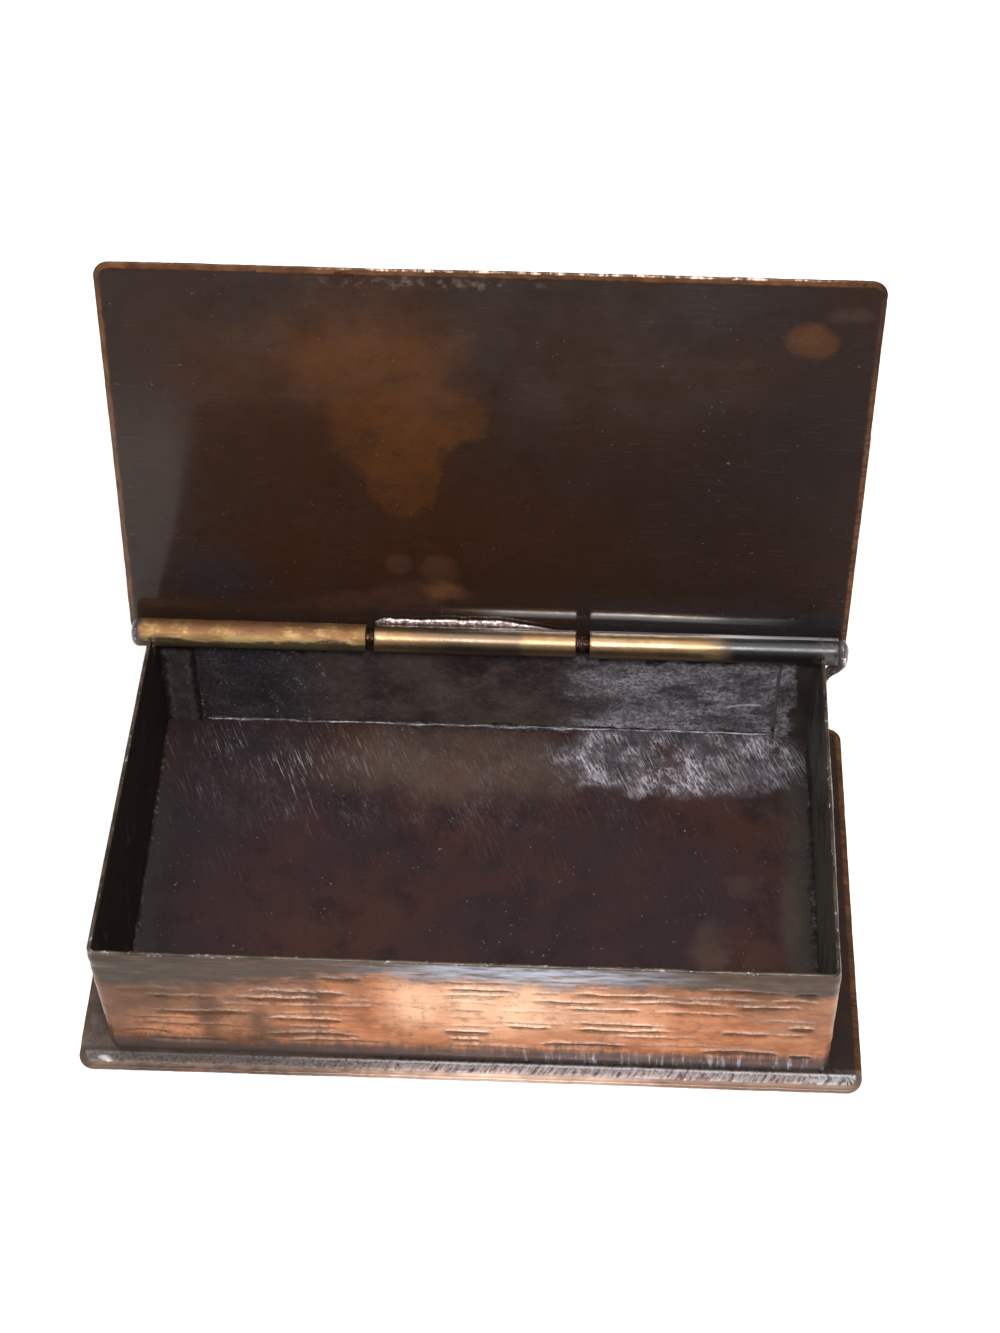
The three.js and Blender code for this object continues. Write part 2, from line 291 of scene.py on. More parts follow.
def add_cover(name, finishes, points, edge, walked):
    """Makes a cover whose first finish is on its seen face and edge, and the second on its back."""
    rings = points.shape[0]
    back = (np.arange(rings - 1) >= rings * 0.5 + 4).astype(int)
    grid = np.repeat(back[:, None], points.shape[1], axis=1)
    marks = {"from_edge": edge, "along_edge": walked}
    return add_piece(name, points, finishes, grid, (0, 1), marks=marks)


# Page strip

def filleted_path(corners, radius, pitch, arc_steps, extra):
    """A line through corners with round bends, given with its outward directions and distance walked.

    Each straight is cut evenly, and also at the places in extra, which are y values on the long sides.
    """
    corners = [np.array(corner, float) for corner in corners]
    points, tangents = [], []
    start = corners[0]
    for index in range(1, len(corners)):
        ahead = corners[index] - corners[index - 1]
        ahead = ahead / np.linalg.norm(ahead)
        last = index == len(corners) - 1
        end = corners[index] - (0 if last else radius) * ahead
        places = evenly(0, np.linalg.norm(end - start), pitch)
        if abs(ahead[1]) > 0.5:
            cuts = (np.array(extra) - start[1]) * ahead[1]
            places = np.unique(np.concatenate([places, cuts]))
        points.append(start + ahead * places[:, None])
        tangents.append(np.repeat(ahead[None], len(places), axis=0))
        if last:
            break
        onward = corners[index + 1] - corners[index]
        onward = onward / np.linalg.norm(onward)
        angle = np.linspace(0, math.pi / 2, arc_steps + 2)[1:-1, None]
        points.append(end + radius * (ahead * np.sin(angle) + onward * (1 - np.cos(angle))))
        tangents.append(ahead * np.cos(angle) + onward * np.sin(angle))
        start = corners[index] + radius * onward
    points, tangents = np.concatenate(points), np.concatenate(tangents)
    outward = np.stack([tangents[:, 1], -tangents[:, 0]], axis=1)
    walked = np.cumsum(np.linalg.norm(np.diff(points, axis=0, prepend=points[:1]), axis=1))
    return points, outward, walked


ChasedStroke = namedtuple("ChasedStroke", "along height length width depth slope bow")


def stroke_depth(along, height, stroke, spread):
    """One blunt stroke: a bell of wavering width across its line, with a short rise and fall at its ends."""
    share = np.clip((along - stroke.along) / stroke.length, 0, 1)
    ends = np.sqrt(np.clip(6 * np.minimum(share, 1 - share), 0, 1))
    line = stroke.height + stroke.slope * (along - stroke.along) + stroke.bow * np.sin(math.pi * share)
    line = line + 0.16 * ripple(along, 5 * stroke.height, 2.6, 51)
    waver = 1 + 0.3 * ripple(along, 5 * stroke.height, 1.5, 52)
    width = spread * stroke.width * (0.65 + 0.35 * ends) * waver
    return stroke.depth * ends * np.exp(-((height - line) / width) ** 2)


def chased_rows(start, end, low, high, page, seed, bare=(0, 0)):
    """Rows of short strokes with gaps between, each a little off its row, but none on the bare stretch."""
    draw = np.random.default_rng(seed)
    pitch, width = page.line_pitch * MM, page.line_width * MM
    strokes = []
    for height in np.arange(low, high, pitch):
        along = start + draw.uniform(0, 6)
        while along < end - 4:
            length = draw.uniform(5, 21)
            bold = draw.random() < 0.13
            if along < bare[1] and along + length > bare[0]:
                length = bare[1] - along
            elif draw.random() < 0.78:
                strokes.append(ChasedStroke(along, height + draw.normal(0, 0.3), min(length, end - along),
                                            width * draw.uniform(0.7, 1.1) * (1.5 if bold else 1.0),
                                            1.0 if bold else draw.uniform(0.3, 0.85),
                                            draw.normal(0, 0.014), draw.normal(0, 0.25)))
            along += length + draw.uniform(0.3, 4)
    return strokes


def chase(along, height, strokes, spread=1.0):
    """The deepest stroke at each point, from 0 to 1, with the strokes spread wider if asked."""
    depth = np.zeros(height.shape)
    for stroke in strokes:
        first, last = np.searchsorted(along, [stroke.along, stroke.along + stroke.length])
        near = slice(first, last)
        drawn = stroke_depth(along[near, None], height[near], stroke, spread)
        depth[near] = np.maximum(depth[near], drawn)
    return depth


def strip_rings(outer_rows, inner_rows):
    """Places around the strip's section: up the outside, over the round rim and down the inside.

    Gives a share of the sheet across, a share of the height, and a share of the rim's own height.
    """
    up = np.linspace(0, 1, outer_rows)
    over = np.linspace(0, math.pi, RIM_RINGS + 2)[1:-1]
    down = np.linspace(1, 0, inner_rows)
    across = np.concatenate([np.ones(outer_rows), np.cos(over), -np.ones(inner_rows)])
    share = np.concatenate([up, np.ones(len(over)), down])
    rim = np.concatenate([np.zeros(outer_rows), np.sin(over), np.zeros(inner_rows)])
    return across, share, rim


def page_surface(page):
    """The strip that is the page edges: a thin section carried along its bent path, chased outside.

    A point stands on the path, half a sheet out or in, and the outside is pushed in by the strokes,
    puffed out between them and gently bowed. The strokes at the top left are worn away. The top leans
    left, most at the front left corner. Gives the points, the place on the strip, the strokes, and the
    band just above each stroke where a highlight is painted.
    """
    low, high = node_span("page_wall")
    sheet, notch = page.sheet * MM, page.notch_drop * MM
    bend = page.bend_radius * MM - sheet / 2
    left, right = low[0] + sheet / 2, high[0] - sheet / 2
    near, far = low[1] + sheet / 2, high[1] - sheet / 2
    tab = page.tab_length * MM
    corners = [(low[0] + tab, far), (left, far), (left, near), (right, near), (right, far),
               (high[0] - tab, far)]
    step = AXIS[1] - page.notch_reach * MM
    path, outward, walked = filleted_path(corners, bend, page.pitch * MM, 6, (step - 0.02, step + 0.02))
    along = walked - walked[-1] / 2
    across, share, rim = strip_rings(page.rows, 22)
    top = np.where(path[:, 1] > step, high[2] - notch, high[2]) - RIM_HEIGHT
    top = top + 0.1 * ripple(along, 0, 9, 11) + 0.09 * np.minimum(ripple(along, 0, 1.3, 12), 0)
    height = low[2] + share * (top - low[2])[:, None] + RIM_HEIGHT * rim
    wall = high[2] - low[2]
    strokes = chased_rows(left + 3, right - 3, low[2] + 4, low[2] + wall * 0.79, page, 21, (-14.5, -6.5))
    strokes = [stroke for stroke in strokes if stroke.along > -32 or stroke.height < low[2] + wall * 0.68]
    for side, first in ((-1, along[0] + tab), (1, right + 3)):
        last = first + far - near - 6
        strokes += chased_rows(first + 2, last, low[2] + 4, low[2] + wall * 0.8, page, 30 + side)
    groove = chase(along, height, strokes)
    shoulder = chase(along, height, strokes, 2.1)
    outside = across[None, :] > 0.99
    fade = smooth_step(share, 0, 0.06) * (1 - smooth_step(share, 0.94, 1.0))
    walk = along[:, None]
    puff = 0.08 * ripple(walk / 3.5, height, 1.9, 41) + 0.05 * ripple(walk, height, 1.6, 42)
    bow = 0.22 * ripple(walk / 2, height, 14, 43)
    sunk = page.line_depth * MM * (0.6 * groove + 0.6 * shoulder)
    push = np.where(outside, fade * (puff + bow + 0.12 - sunk), 0.4 * fade * bow)
    reach = across * sheet / 2 + push
    points = np.concatenate([path[:, None] + outward[:, None] * reach[..., None], height[..., None]],
                            axis=-1)
    front = np.clip((far - path[:, 1]) / (far - near), 0, 1)
    leftward = np.clip((right - path[:, 0]) / (right - left), 0, 1)
    lean = page.lean * MM * (front * (0.25 + 0.75 * leftward))
    points[..., 0] -= lean[:, None] * share
    place = np.stack(np.broadcast_arrays(walk, height, across), axis=-1)
    # Where a highlight is painted: a band just above each stroke
    lip_highlight = chase(along, height - 0.95, strokes, 1.5)
    return points, place, np.where(outside, groove, 0), np.where(outside, lip_highlight, 0)


# Spine, tubes, wire and plugs

def plate_surface(low, high, pitch, seed):
    """An upright sheet along X: a loop up its inside, over its top and down its back, carried along.

    The inside is lumpy, as hammered and soldered sheet is, and both ends are flat.
    """
    x = evenly(low[0], high[0], pitch)[:, None]
    share = np.linspace(0, 1, 40)
    height = np.concatenate([share, share[::-1]]) * (high[2] - low[2]) + low[2]
    inside = np.arange(len(height)) < len(share)
    lump = 0.14 * ripple(x, height, 9, seed) + 0.05 * ripple(x, height, 2.1, seed + 1)
    fade = smooth_step(height, low[2], low[2] + 2) * (1 - smooth_step(height, high[2] - 1.5, high[2]))
    depth = np.where(inside, low[1] - 0.06 + lump * fade, high[1])
    return np.stack([np.broadcast_to(x, depth.shape), depth, np.broadcast_to(height, depth.shape)], axis=-1)


def turned(x, radius, spin, centre, dent, seed):
    """A profile of places along X and radii turned about a line along X, with shallow dents."""
    y, z = np.cos(spin), np.sin(spin)
    x, radius = x[:, None], radius[:, None]
    uneven = ripple(x, 40 + radius * y, 5.2, seed) + ripple(x, 90 + radius * z, 5.2, seed + 1)
    radius = radius + dent * uneven
    points = [np.broadcast_to(x, radius.shape), centre[1] + radius * y, centre[2] + radius * z]
    return np.stack(points, axis=-1)


def tube_surface(low_x, high_x, radius, hinge, seed):
    """A tube: along the outside, round the lip, back through the bore and round the other lip."""
    wall, lip = hinge.tube_wall * MM, hinge.tube_wall * MM / 2
    turn = np.linspace(-math.pi / 2, math.pi / 2, 7)
    outside = evenly(low_x + lip, high_x - lip, 0.5)
    bore = evenly(high_x - lip, low_x + lip, 4)
    x = np.concatenate([outside, high_x - lip + lip * np.cos(turn[::-1])[1:-1],
                        bore, low_x + lip - lip * np.cos(turn)[1:-1]])
    section = np.concatenate([np.full(len(outside), radius), radius - lip + lip * np.sin(turn[::-1])[1:-1],
                              np.full(len(bore), radius - wall), radius - lip + lip * np.sin(turn)[1:-1]])
    spin = all_round(hinge.sides)
    return turned(x, section, spin, AXIS, hinge.dent_depth * MM, seed)


def wire_surface(hinge):
    """The hinge wire: a round bar with a fine ridge turned along it and rounded ends."""
    low, high = node_span("hinge_pin")
    radius = (high[2] - low[2]) / 2
    x = evenly(low[0], high[0], 0.12)
    ridge = 0.09 * np.abs(np.sin(math.pi * x / (hinge.ridge_pitch * MM)))
    from_end = np.minimum(x - low[0], high[0] - x)
    section = (radius - ridge) * np.sqrt(np.clip(from_end / 0.6, 0.02, 1))
    spin = all_round(20)
    return turned(x, section, spin, AXIS, 0, 1)


def left_plug_surface(seed):
    """The left plug: a lumpy half round of solder on the tube's end."""
    low, high = node_span("hinge_cap_left")
    radius = (high[2] - low[2]) / 2
    share = np.linspace(0.03, 1, 16)
    x = high[0] - (high[0] - low[0]) * np.sqrt(1 - share ** 2)
    return turned(np.append(x, high[0]), radius * np.append(share, 0.05), all_round(32), AXIS, 0.13, seed)


def right_plug_surface(hinge, seed):
    """The right plug: a drop of solder that runs from the tube's end down the wall's far corner.

    An oval is carried down a line, its width and depth following a drop's outline with lumps.
    """
    tube_low, tube_high = node_span("hinge_knuckle_right")
    wall_high = node_span("page_wall")[1]
    radius = (tube_high[2] - tube_low[2]) / 2
    share = np.linspace(0.004, 0.996, 44)[:, None]
    top, tip = AXIS[2] + radius - 0.05, AXIS[2] - hinge.plug_run * MM
    z = top + (tip - top) * share
    fat = 1 - smooth_step(share, 0.28, 1.0)
    end_round = np.sqrt(np.clip(1 - (1 - np.minimum(share / 0.3, 1)) ** 2, 0, 1))
    tail_round = np.sqrt(np.clip((1 - share) / 0.06, 0, 1))
    deep = (0.8 + (radius - 0.95) * fat) * end_round * np.minimum(tail_round, 1)
    wide = (0.75 + 0.75 * fat) * end_round * np.minimum(tail_round, 1)
    spin = all_round(36)
    lump = 1 + 0.13 * ripple(3 * np.cos(spin) + 9, z + 3 * np.sin(spin), 2.6, seed)
    x = wall_high[0] + 0.9 + (tube_high[0] - 0.15 - wall_high[0]) * fat + wide * np.cos(spin) * lump
    y = AXIS[1] + 0.55 * (1 - fat) + deep * np.sin(spin) * lump
    return np.stack([x, y, np.broadcast_to(z, x.shape)], axis=-1)


# Solder

Seam = namedtuple("Seam", "name node start end first second gleam seed")


def lumpy(along, row, broad, fine, lumps, seed):
    """How much a run of solder swells and shrinks: 1 and two ripples, a broad one and a fine one."""
    return 1 + lumps * (0.5 * ripple(along, row, broad, seed) + 0.3 * ripple(along, row, fine, seed + 1))


def seam_surface(start, end, first, second, lumps, seed):
    """A run of solder in a corner: a hollow fillet between two legs, carried from start to end.

    Across it goes from the tip of the first leg to the tip of the second as the squares of a share
    and of the rest. The legs swell and shrink along the run, and shrink away at its ends.
    Gives the points and the share of the way across.
    """
    start, end = np.array(start, float), np.array(end, float)
    run = np.linalg.norm(end - start)
    along = evenly(0, run, 0.45)[:, None]
    share = np.linspace(0, 1, 9)
    ends = np.sqrt(np.clip(np.minimum(along, run - along) / 1.2, 0.03, 1))
    swell = ends * lumpy(along, 0, 5.1, 1.7, lumps, seed)
    rise = ends * lumpy(along, 7, 4.3, 1.5, lumps, seed + 2)
    bead = 1 + lumps * 0.35 * ripple(along, 8 * share, 1.9, seed + 4)
    legs = np.concatenate([[0.0], (1 - share) ** 2]), np.concatenate([[0.0], share ** 2])
    bead = np.concatenate([np.ones((len(along), 1)), bead], axis=1)
    line = start + (end - start) * along / run
    points = (line[:, None] + (swell * bead * legs[0])[..., None] * np.array(first, float)
              + (rise * bead * legs[1])[..., None] * np.array(second, float))
    return points, np.broadcast_to(np.append(0.5, share), points.shape[:2])


def lid_strip_surface(hinge, seed):
    """The lid's solder: a lumpy oval bead beside the middle tube, thinning to a point over its right half.

    It is worked out for the shut lid, measured from the hinge axis, and carried open.
    """
    low, high = shut_span("solder_lid")
    inner, outer = hinge.strip_start * MM, hinge.strip_reach * MM
    x = evenly(low[0], high[0], 0.3)[:, None]
    spin = all_round(24)
    thin = 1 - 0.8 * smooth_step(x, high[0] - 17, high[0] - 1)
    ends = np.sqrt(np.clip(np.minimum(x - low[0], high[0] - x) / 1.8, 0.03, 1))
    lump = 1 + hinge.lumps * 0.16 * (ripple(x, 9 + 3 * np.cos(spin), 1.7, seed) + ripple(x, 9, 5.3,
                                                                                         seed + 1))
    half = (outer - inner) / 2 * thin
    y = -inner - half - half * ends * lump * np.cos(spin)
    z = high[2] - 0.2 + 0.65 * thin * ends * lump * np.sin(spin)
    return open_lid(np.stack([np.broadcast_to(x, y.shape), y, z], axis=-1))


# Node trees

class NodePen:
    """Draws one node tree. Each method places nodes, joins their inputs and gives back an output.

    A finish's pen also knows the box's colours by name, and keeps the colour painted so far.
    """

    def __init__(self, tree, colours=None):
        self.tree = tree
        self.colours = colours
        self.colour = None

    def join(self, value, socket):
        """Links a socket to a socket, or sets on it a plain value or the colour of that name."""
        if isinstance(value, bpy.types.NodeSocket):
            self.tree.links.new(value, socket)
        elif socket.type == "RGBA":
            tone = getattr(self.colours, value) if isinstance(value, str) else value
            socket.default_value = (*tone[:3], 1.0)
        else:
            socket.default_value = value

    def place(self, kind, inputs=None, output=0, **settings):
        """Places a node of a kind with its settings and inputs."""
        node = self.tree.nodes.new(kind)
        for name, value in settings.items():
            setattr(node, name, value)
        for key, value in (inputs or {}).items():
            self.join(value, node.inputs[key])
        return node.outputs[output]

    def reckon(self, operation, first, second=0.0):
        """One step of arithmetic, kept between 0 and 1."""
        return self.place("ShaderNodeMath", {0: first, 1: second}, operation=operation, use_clamp=True)

    def both(self, first, second):
        """Two masks multiplied."""
        return self.reckon("MULTIPLY", first, second)

    def either(self, first, second):
        """The larger of two masks."""
        return self.reckon("MAXIMUM", first, second)

    def rest(self, mask):
        """What a mask leaves of 1."""
        return self.reckon("SUBTRACT", 1.0, mask)

    def count(self, operation, first, second=0.0):
        """One step of arithmetic, with no limit."""
        return self.place("ShaderNodeMath", {0: first, 1: second}, operation=operation)

    def add(self, first, second):
        """A sum."""
        return self.count("ADD", first, second)

    def less(self, first, second):
        """A difference."""
        return self.count("SUBTRACT", first, second)

    def times(self, first, second):
        """A product."""
        return self.count("MULTIPLY", first, second)

    def unsigned(self, value):
        """A value without its sign."""
        return self.count("ABSOLUTE", value)

    def shift(self, operation, first, second, output=0):
        """One step of arithmetic on vectors."""
        return self.place("ShaderNodeVectorMath", {0: first, 1: second}, output, operation=operation)

    def scale(self, vector, factor):
        """A vector times a number."""
        return self.place("ShaderNodeVectorMath", {0: vector, 3: factor}, operation="SCALE")

    def rise(self, value, low, high, bottom=0.0, top=1.0):
        """A smooth rise from bottom at low to top at high."""
        return self.place("ShaderNodeMapRange", {0: value, 1: low, 2: high, 3: bottom, 4: top},
                          interpolation_type="SMOOTHSTEP")

    def between(self, value, low, high, soft):
        """1 between two limits, falling off over a soft edge outside them."""
        return self.both(self.rise(value, low - soft, low), self.rise(value, high + soft, high))

    def noise(self, vector, size, detail=3.0, roughness=0.55, output=0):
        """Noise whose features are about size millimetres wide."""
        inputs = {"Vector": vector, "Scale": 1.0 / size, "Detail": detail, "Roughness": roughness}
        return self.place("ShaderNodeTexNoise", inputs, output)

    def spread(self, noise, bottom=0.0, top=1.0):
        """Noise spread over the values from bottom to top."""
        return self.rise(noise, NOISE_LOW, NOISE_HIGH, bottom, top)

    def waver(self, noise, reach):
        """Noise moved to lie about 0 and drawn out to a reach."""
        return self.times(self.less(noise, 0.5), reach)

    def mix(self, mask, first, second):
        """The first colour where the mask is 0, and the second where it is 1."""
        return self.place("ShaderNodeMix", {0: mask, 6: first, 7: second}, 2, data_type="RGBA")

    def lay(self, colour, mask, share=None):
        """Lays a colour over what is painted so far, where a mask or a share of it says."""
        mask = mask if share is None else self.both(mask, share)
        self.colour = self.mix(mask, self.colour, colour)

    def parts(self, vector):
        """The three numbers of a vector."""
        node = self.tree.nodes.new("ShaderNodeSeparateXYZ")
        self.join(vector, node.inputs[0])
        return node.outputs[0], node.outputs[1], node.outputs[2]

    def mark(self, name, output="Fac"):
        """A value kept on the points of the piece."""
        return self.place("ShaderNodeAttribute", output=output, attribute_name=name)

    def place_mm(self, turn=(0, 0, 0), origin=(0, 0, 0)):
        """The point's place in millimetres from an origin, turned about it."""
        place = self.place("ShaderNodeTexCoord", output="Object")
        rotation = Euler(turn).to_matrix()
        inputs = {"Vector": place, "Location": -(rotation @ Vector(origin)), "Rotation": turn,
                  "Scale": (MM, MM, MM)}
        return self.place("ShaderNodeMapping", inputs, vector_type="POINT")

    def use(self, group, output=0, **inputs):
        """Places a shared effect with its own values."""
        given = {name.replace("_", " "): value for name, value in inputs.items()}
        return self.place("ShaderNodeGroup", given, output, node_tree=bpy.data.node_groups[group])

    def spot(self, place, x, y, half_x, half_y, soft, ragged):
        """The mask of one stain."""
        return self.use("stain spot", Vector=place, Centre=(x, y, 0), Half_size=(half_x, half_y, ENDLESS),
                        Softness=soft, Raggedness=ragged)

    def clouds(self, place, fineness, first, second, third):
        """Three tones of patina."""
        return self.use("patina clouds", Vector=place, Fineness=fineness, First=first, Second=second,
                        Third=third)

    def scratches(self, place, stretch, amount, output="Mask"):
        """Fine scratches, as a mask or as a height."""
        return self.use("fine scratches", output, Vector=place, Stretch=stretch, Amount=amount)

    def haze(self, place, stretch, cover):
        """Dried flux."""
        return self.use("frost haze", Vector=place, Stretch=stretch, Cover=cover)

    def specks(self, place, amount):
        """Specks of dust."""
        return self.use("dust specks", Vector=place, Size=SPECK_SIZE, Amount=amount)

    def wear(self, distance, place, width, ragged):
        """Wear along an edge, by the distance from it."""
        return self.use("edge wear", Distance=distance, Vector=place, Width=width, Raggedness=ragged)

    def shade(self, roughness, metallic, height, bump, **plain):
        """Joins what is painted, roughness, metal and a height in millimetres to the shader."""
        normal = self.place("ShaderNodeBump", {"Strength": 1.0, "Distance": bump / MM, "Height": height})
        inputs = {"Base Color": self.colour, "Roughness": roughness, "Metallic": metallic, "Normal": normal}
        inputs.update({name.replace("_", " "): value for name, value in plain.items()})
        self.show(self.place("ShaderNodeBsdfPrincipled", inputs))

    def show(self, surface, kind="ShaderNodeOutputMaterial"):
        """Joins a finished surface to the tree's output."""
        self.tree.links.new(surface, self.tree.nodes.new(kind).inputs["Surface"])


def new_group(name, inputs, outputs):
    """A shader node group with named sockets, and the pen that draws it."""
    tree = bpy.data.node_groups.new(name, "ShaderNodeTree")
    kinds = {"v": "NodeSocketVector", "f": "NodeSocketFloat", "c": "NodeSocketColor"}
    for socket, kind in inputs.items():
        tree.interface.new_socket(socket, in_out="INPUT", socket_type=kinds[kind])
    for socket, kind in outputs.items():
        tree.interface.new_socket(socket, in_out="OUTPUT", socket_type=kinds[kind])
    given = tree.nodes.new("NodeGroupInput")
    result = tree.nodes.new("NodeGroupOutput")
    return NodePen(tree), given.outputs, result.inputs


def group_stain_spot():
    """A soft oval mask with a ragged edge: the distance from its middle in half sizes, stepped at 1."""
    pen, given, result = new_group("stain spot",
                                   {"Vector": "v", "Centre": "v", "Half size": "v", "Softness": "f",
                                    "Raggedness": "f"}, {"Mask": "f"})
    wander = pen.shift("SUBTRACT", pen.noise(given["Vector"], 7, 5, 0.62, 1), (0.5, 0.5, 0.5))
    scaled = pen.scale(wander, given["Raggedness"])
    moved = pen.shift("SUBTRACT", pen.shift("ADD", given["Vector"], scaled), given["Centre"])
    away = pen.shift("LENGTH", pen.shift("DIVIDE", moved, given["Half size"]), (0, 0, 0), 1)
    outer = pen.add(1.0, given["Softness"])
    inner = pen.less(1.0, given["Softness"])
    pen.join(pen.rise(away, outer, inner), result["Mask"])


def group_patina_clouds():
    """Three tones of patina: broad noise mixes two, and finer noise lays the third over them."""
    pen, given, result = new_group("patina clouds",
                                   {"Vector": "v", "Fineness": "f", "First": "c", "Second": "c",
                                    "Third": "c"}, {"Colour": "c", "Mask": "f"})
    scaled = pen.scale(given["Vector"], given["Fineness"])
    broad = pen.rise(pen.noise(scaled, 1, 4, 0.6), 0.36, 0.64)
    fine = pen.rise(pen.noise(scaled, 0.23, 5, 0.65), 0.48, 0.72)
    tone = pen.mix(broad, given["First"], given["Second"])
    pen.join(pen.mix(fine, tone, given["Third"]), result["Colour"])
    pen.join(fine, result["Mask"])


def group_fine_scratches():
    """Thin marks along the vector's X: noise drawn out along X, cut high, and kept in patches."""
    pen, given, result = new_group("fine scratches", {"Vector": "v", "Stretch": "v", "Amount": "f"},
                                   {"Mask": "f", "Height": "f"})
    drawn = pen.shift("DIVIDE", given["Vector"], given["Stretch"])
    lines = pen.noise(drawn, 1, 2, 0.5)
    patches = pen.rise(pen.noise(given["Vector"], 11, 3), 0.38, 0.62)
    cut = pen.both(pen.rise(lines, 0.56, 0.74), patches)
    pen.join(pen.both(cut, given["Amount"]), result["Mask"])
    pen.join(lines, result["Height"])


def group_frost_haze():
    """Dried flux: clouds drawn out by the stretch, broken up by a fine grain."""
    pen, given, result = new_group("frost haze", {"Vector": "v", "Stretch": "v", "Cover": "f"},
                                   {"Mask": "f"})
    clouds = pen.noise(pen.shift("DIVIDE", given["Vector"], given["Stretch"]), 1, 4, 0.6)
    edge = pen.less(0.74, pen.times(given["Cover"], 0.36))
    body = pen.rise(clouds, edge, pen.add(edge, 0.24))
    grain = pen.rise(pen.noise(given["Vector"], 0.65, 3, 0.7), 0.38, 0.66, 0.1, 1.0)
    pen.join(pen.both(body, grain), result["Mask"])


def group_dust_specks():
    """Tiny pale specks: fine noise cut high, in some patches more than in others."""
    pen, given, result = new_group("dust specks", {"Vector": "v", "Size": "f", "Amount": "f"},
                                   {"Mask": "f"})
    scaled = pen.scale(given["Vector"], pen.count("DIVIDE", 1.0, given["Size"]))
    specks = pen.rise(pen.noise(scaled, 1, 2, 0.5), 0.7, 0.78)
    patches = pen.rise(pen.noise(given["Vector"], 13, 3), 0.4, 0.65)
    specks = pen.both(specks, patches)
    pen.join(pen.both(specks, given["Amount"]), result["Mask"])


def group_edge_wear():
    """Wear along an edge: the distance from it, made ragged by noise, fading over a width."""
    pen, given, result = new_group("edge wear",
                                   {"Distance": "f", "Vector": "v", "Width": "f",
                                    "Raggedness": "f"}, {"Mask": "f"})
    wander = pen.less(pen.noise(given["Vector"], 1.9, 3, 0.5), 0.5)
    ragged = pen.add(given["Distance"], pen.times(wander, given["Raggedness"]))
    near = pen.times(given["Width"], 0.6)
    pen.join(pen.rise(ragged, given["Width"], near), result["Mask"])


# Finishes

Stain = namedtuple("Stain", "x y half_x half_y soft ragged share colour")


def lay_stains(pen, place, stains):
    """Lays each stain over the colour in turn, thinner in some places than in others."""
    mottle = pen.rise(pen.noise(place, 8, 5, 0.62), 0.3, 0.62, 0.55, 1.0)
    for stain in stains:
        mask = pen.spot(place, *stain[:6])
        pen.lay(stain.colour, mask, pen.times(mottle, stain.share))


def new_finish(name):
    """An empty material and the pen that draws it."""
    material = bpy.data.materials.new(name)
    material.use_nodes = True
    material.node_tree.nodes.clear()
    return material, NodePen(material.node_tree, bpy.context.scene.copper_box.colours)


def worn_edge(pen, place, width, toothed, rubbed):
    """Lays worn copper along a cover's edge, with hammer teeth where asked, and a painted highlight of broken
    near-white glints along its crest, as strong as rubbed says.
    """
    edge = pen.mark("from_edge")
    walk = pen.place("ShaderNodeCombineXYZ", {0: pen.mark("along_edge"), 1: edge, 2: 0.0})
    teeth = pen.rise(pen.noise(pen.shift("MULTIPLY", walk, (1.0, 0.3, 0.0)), 0.85, 2, 0.5), 0.5, 0.62)
    nicks = pen.rise(pen.noise(walk, 3.4, 3, 0.6), 0.62, 0.68)
    dark = pen.either(pen.both(teeth, toothed), pen.both(nicks, 0.75))
    tone = pen.mix(pen.spread(pen.noise(place, 5, 5, 0.65)), "edge_brown", "worn_copper")
    tone = pen.mix(dark, tone, "black_patina")
    worn = pen.wear(edge, place, width, 0.6)
    pen.lay(tone, worn)
    # Painted highlight: broken glints of near-white copper along the edge's crest
    crest = pen.wear(edge, place, width * 0.3, 0.3)
    broken = pen.rise(pen.noise(walk, 5, 7, 0.8), 0.48, 0.6)
    glint = pen.both(pen.both(crest, broken), rubbed)
    pen.lay("glint_copper", glint)
    return pen.both(worn, 0.3)


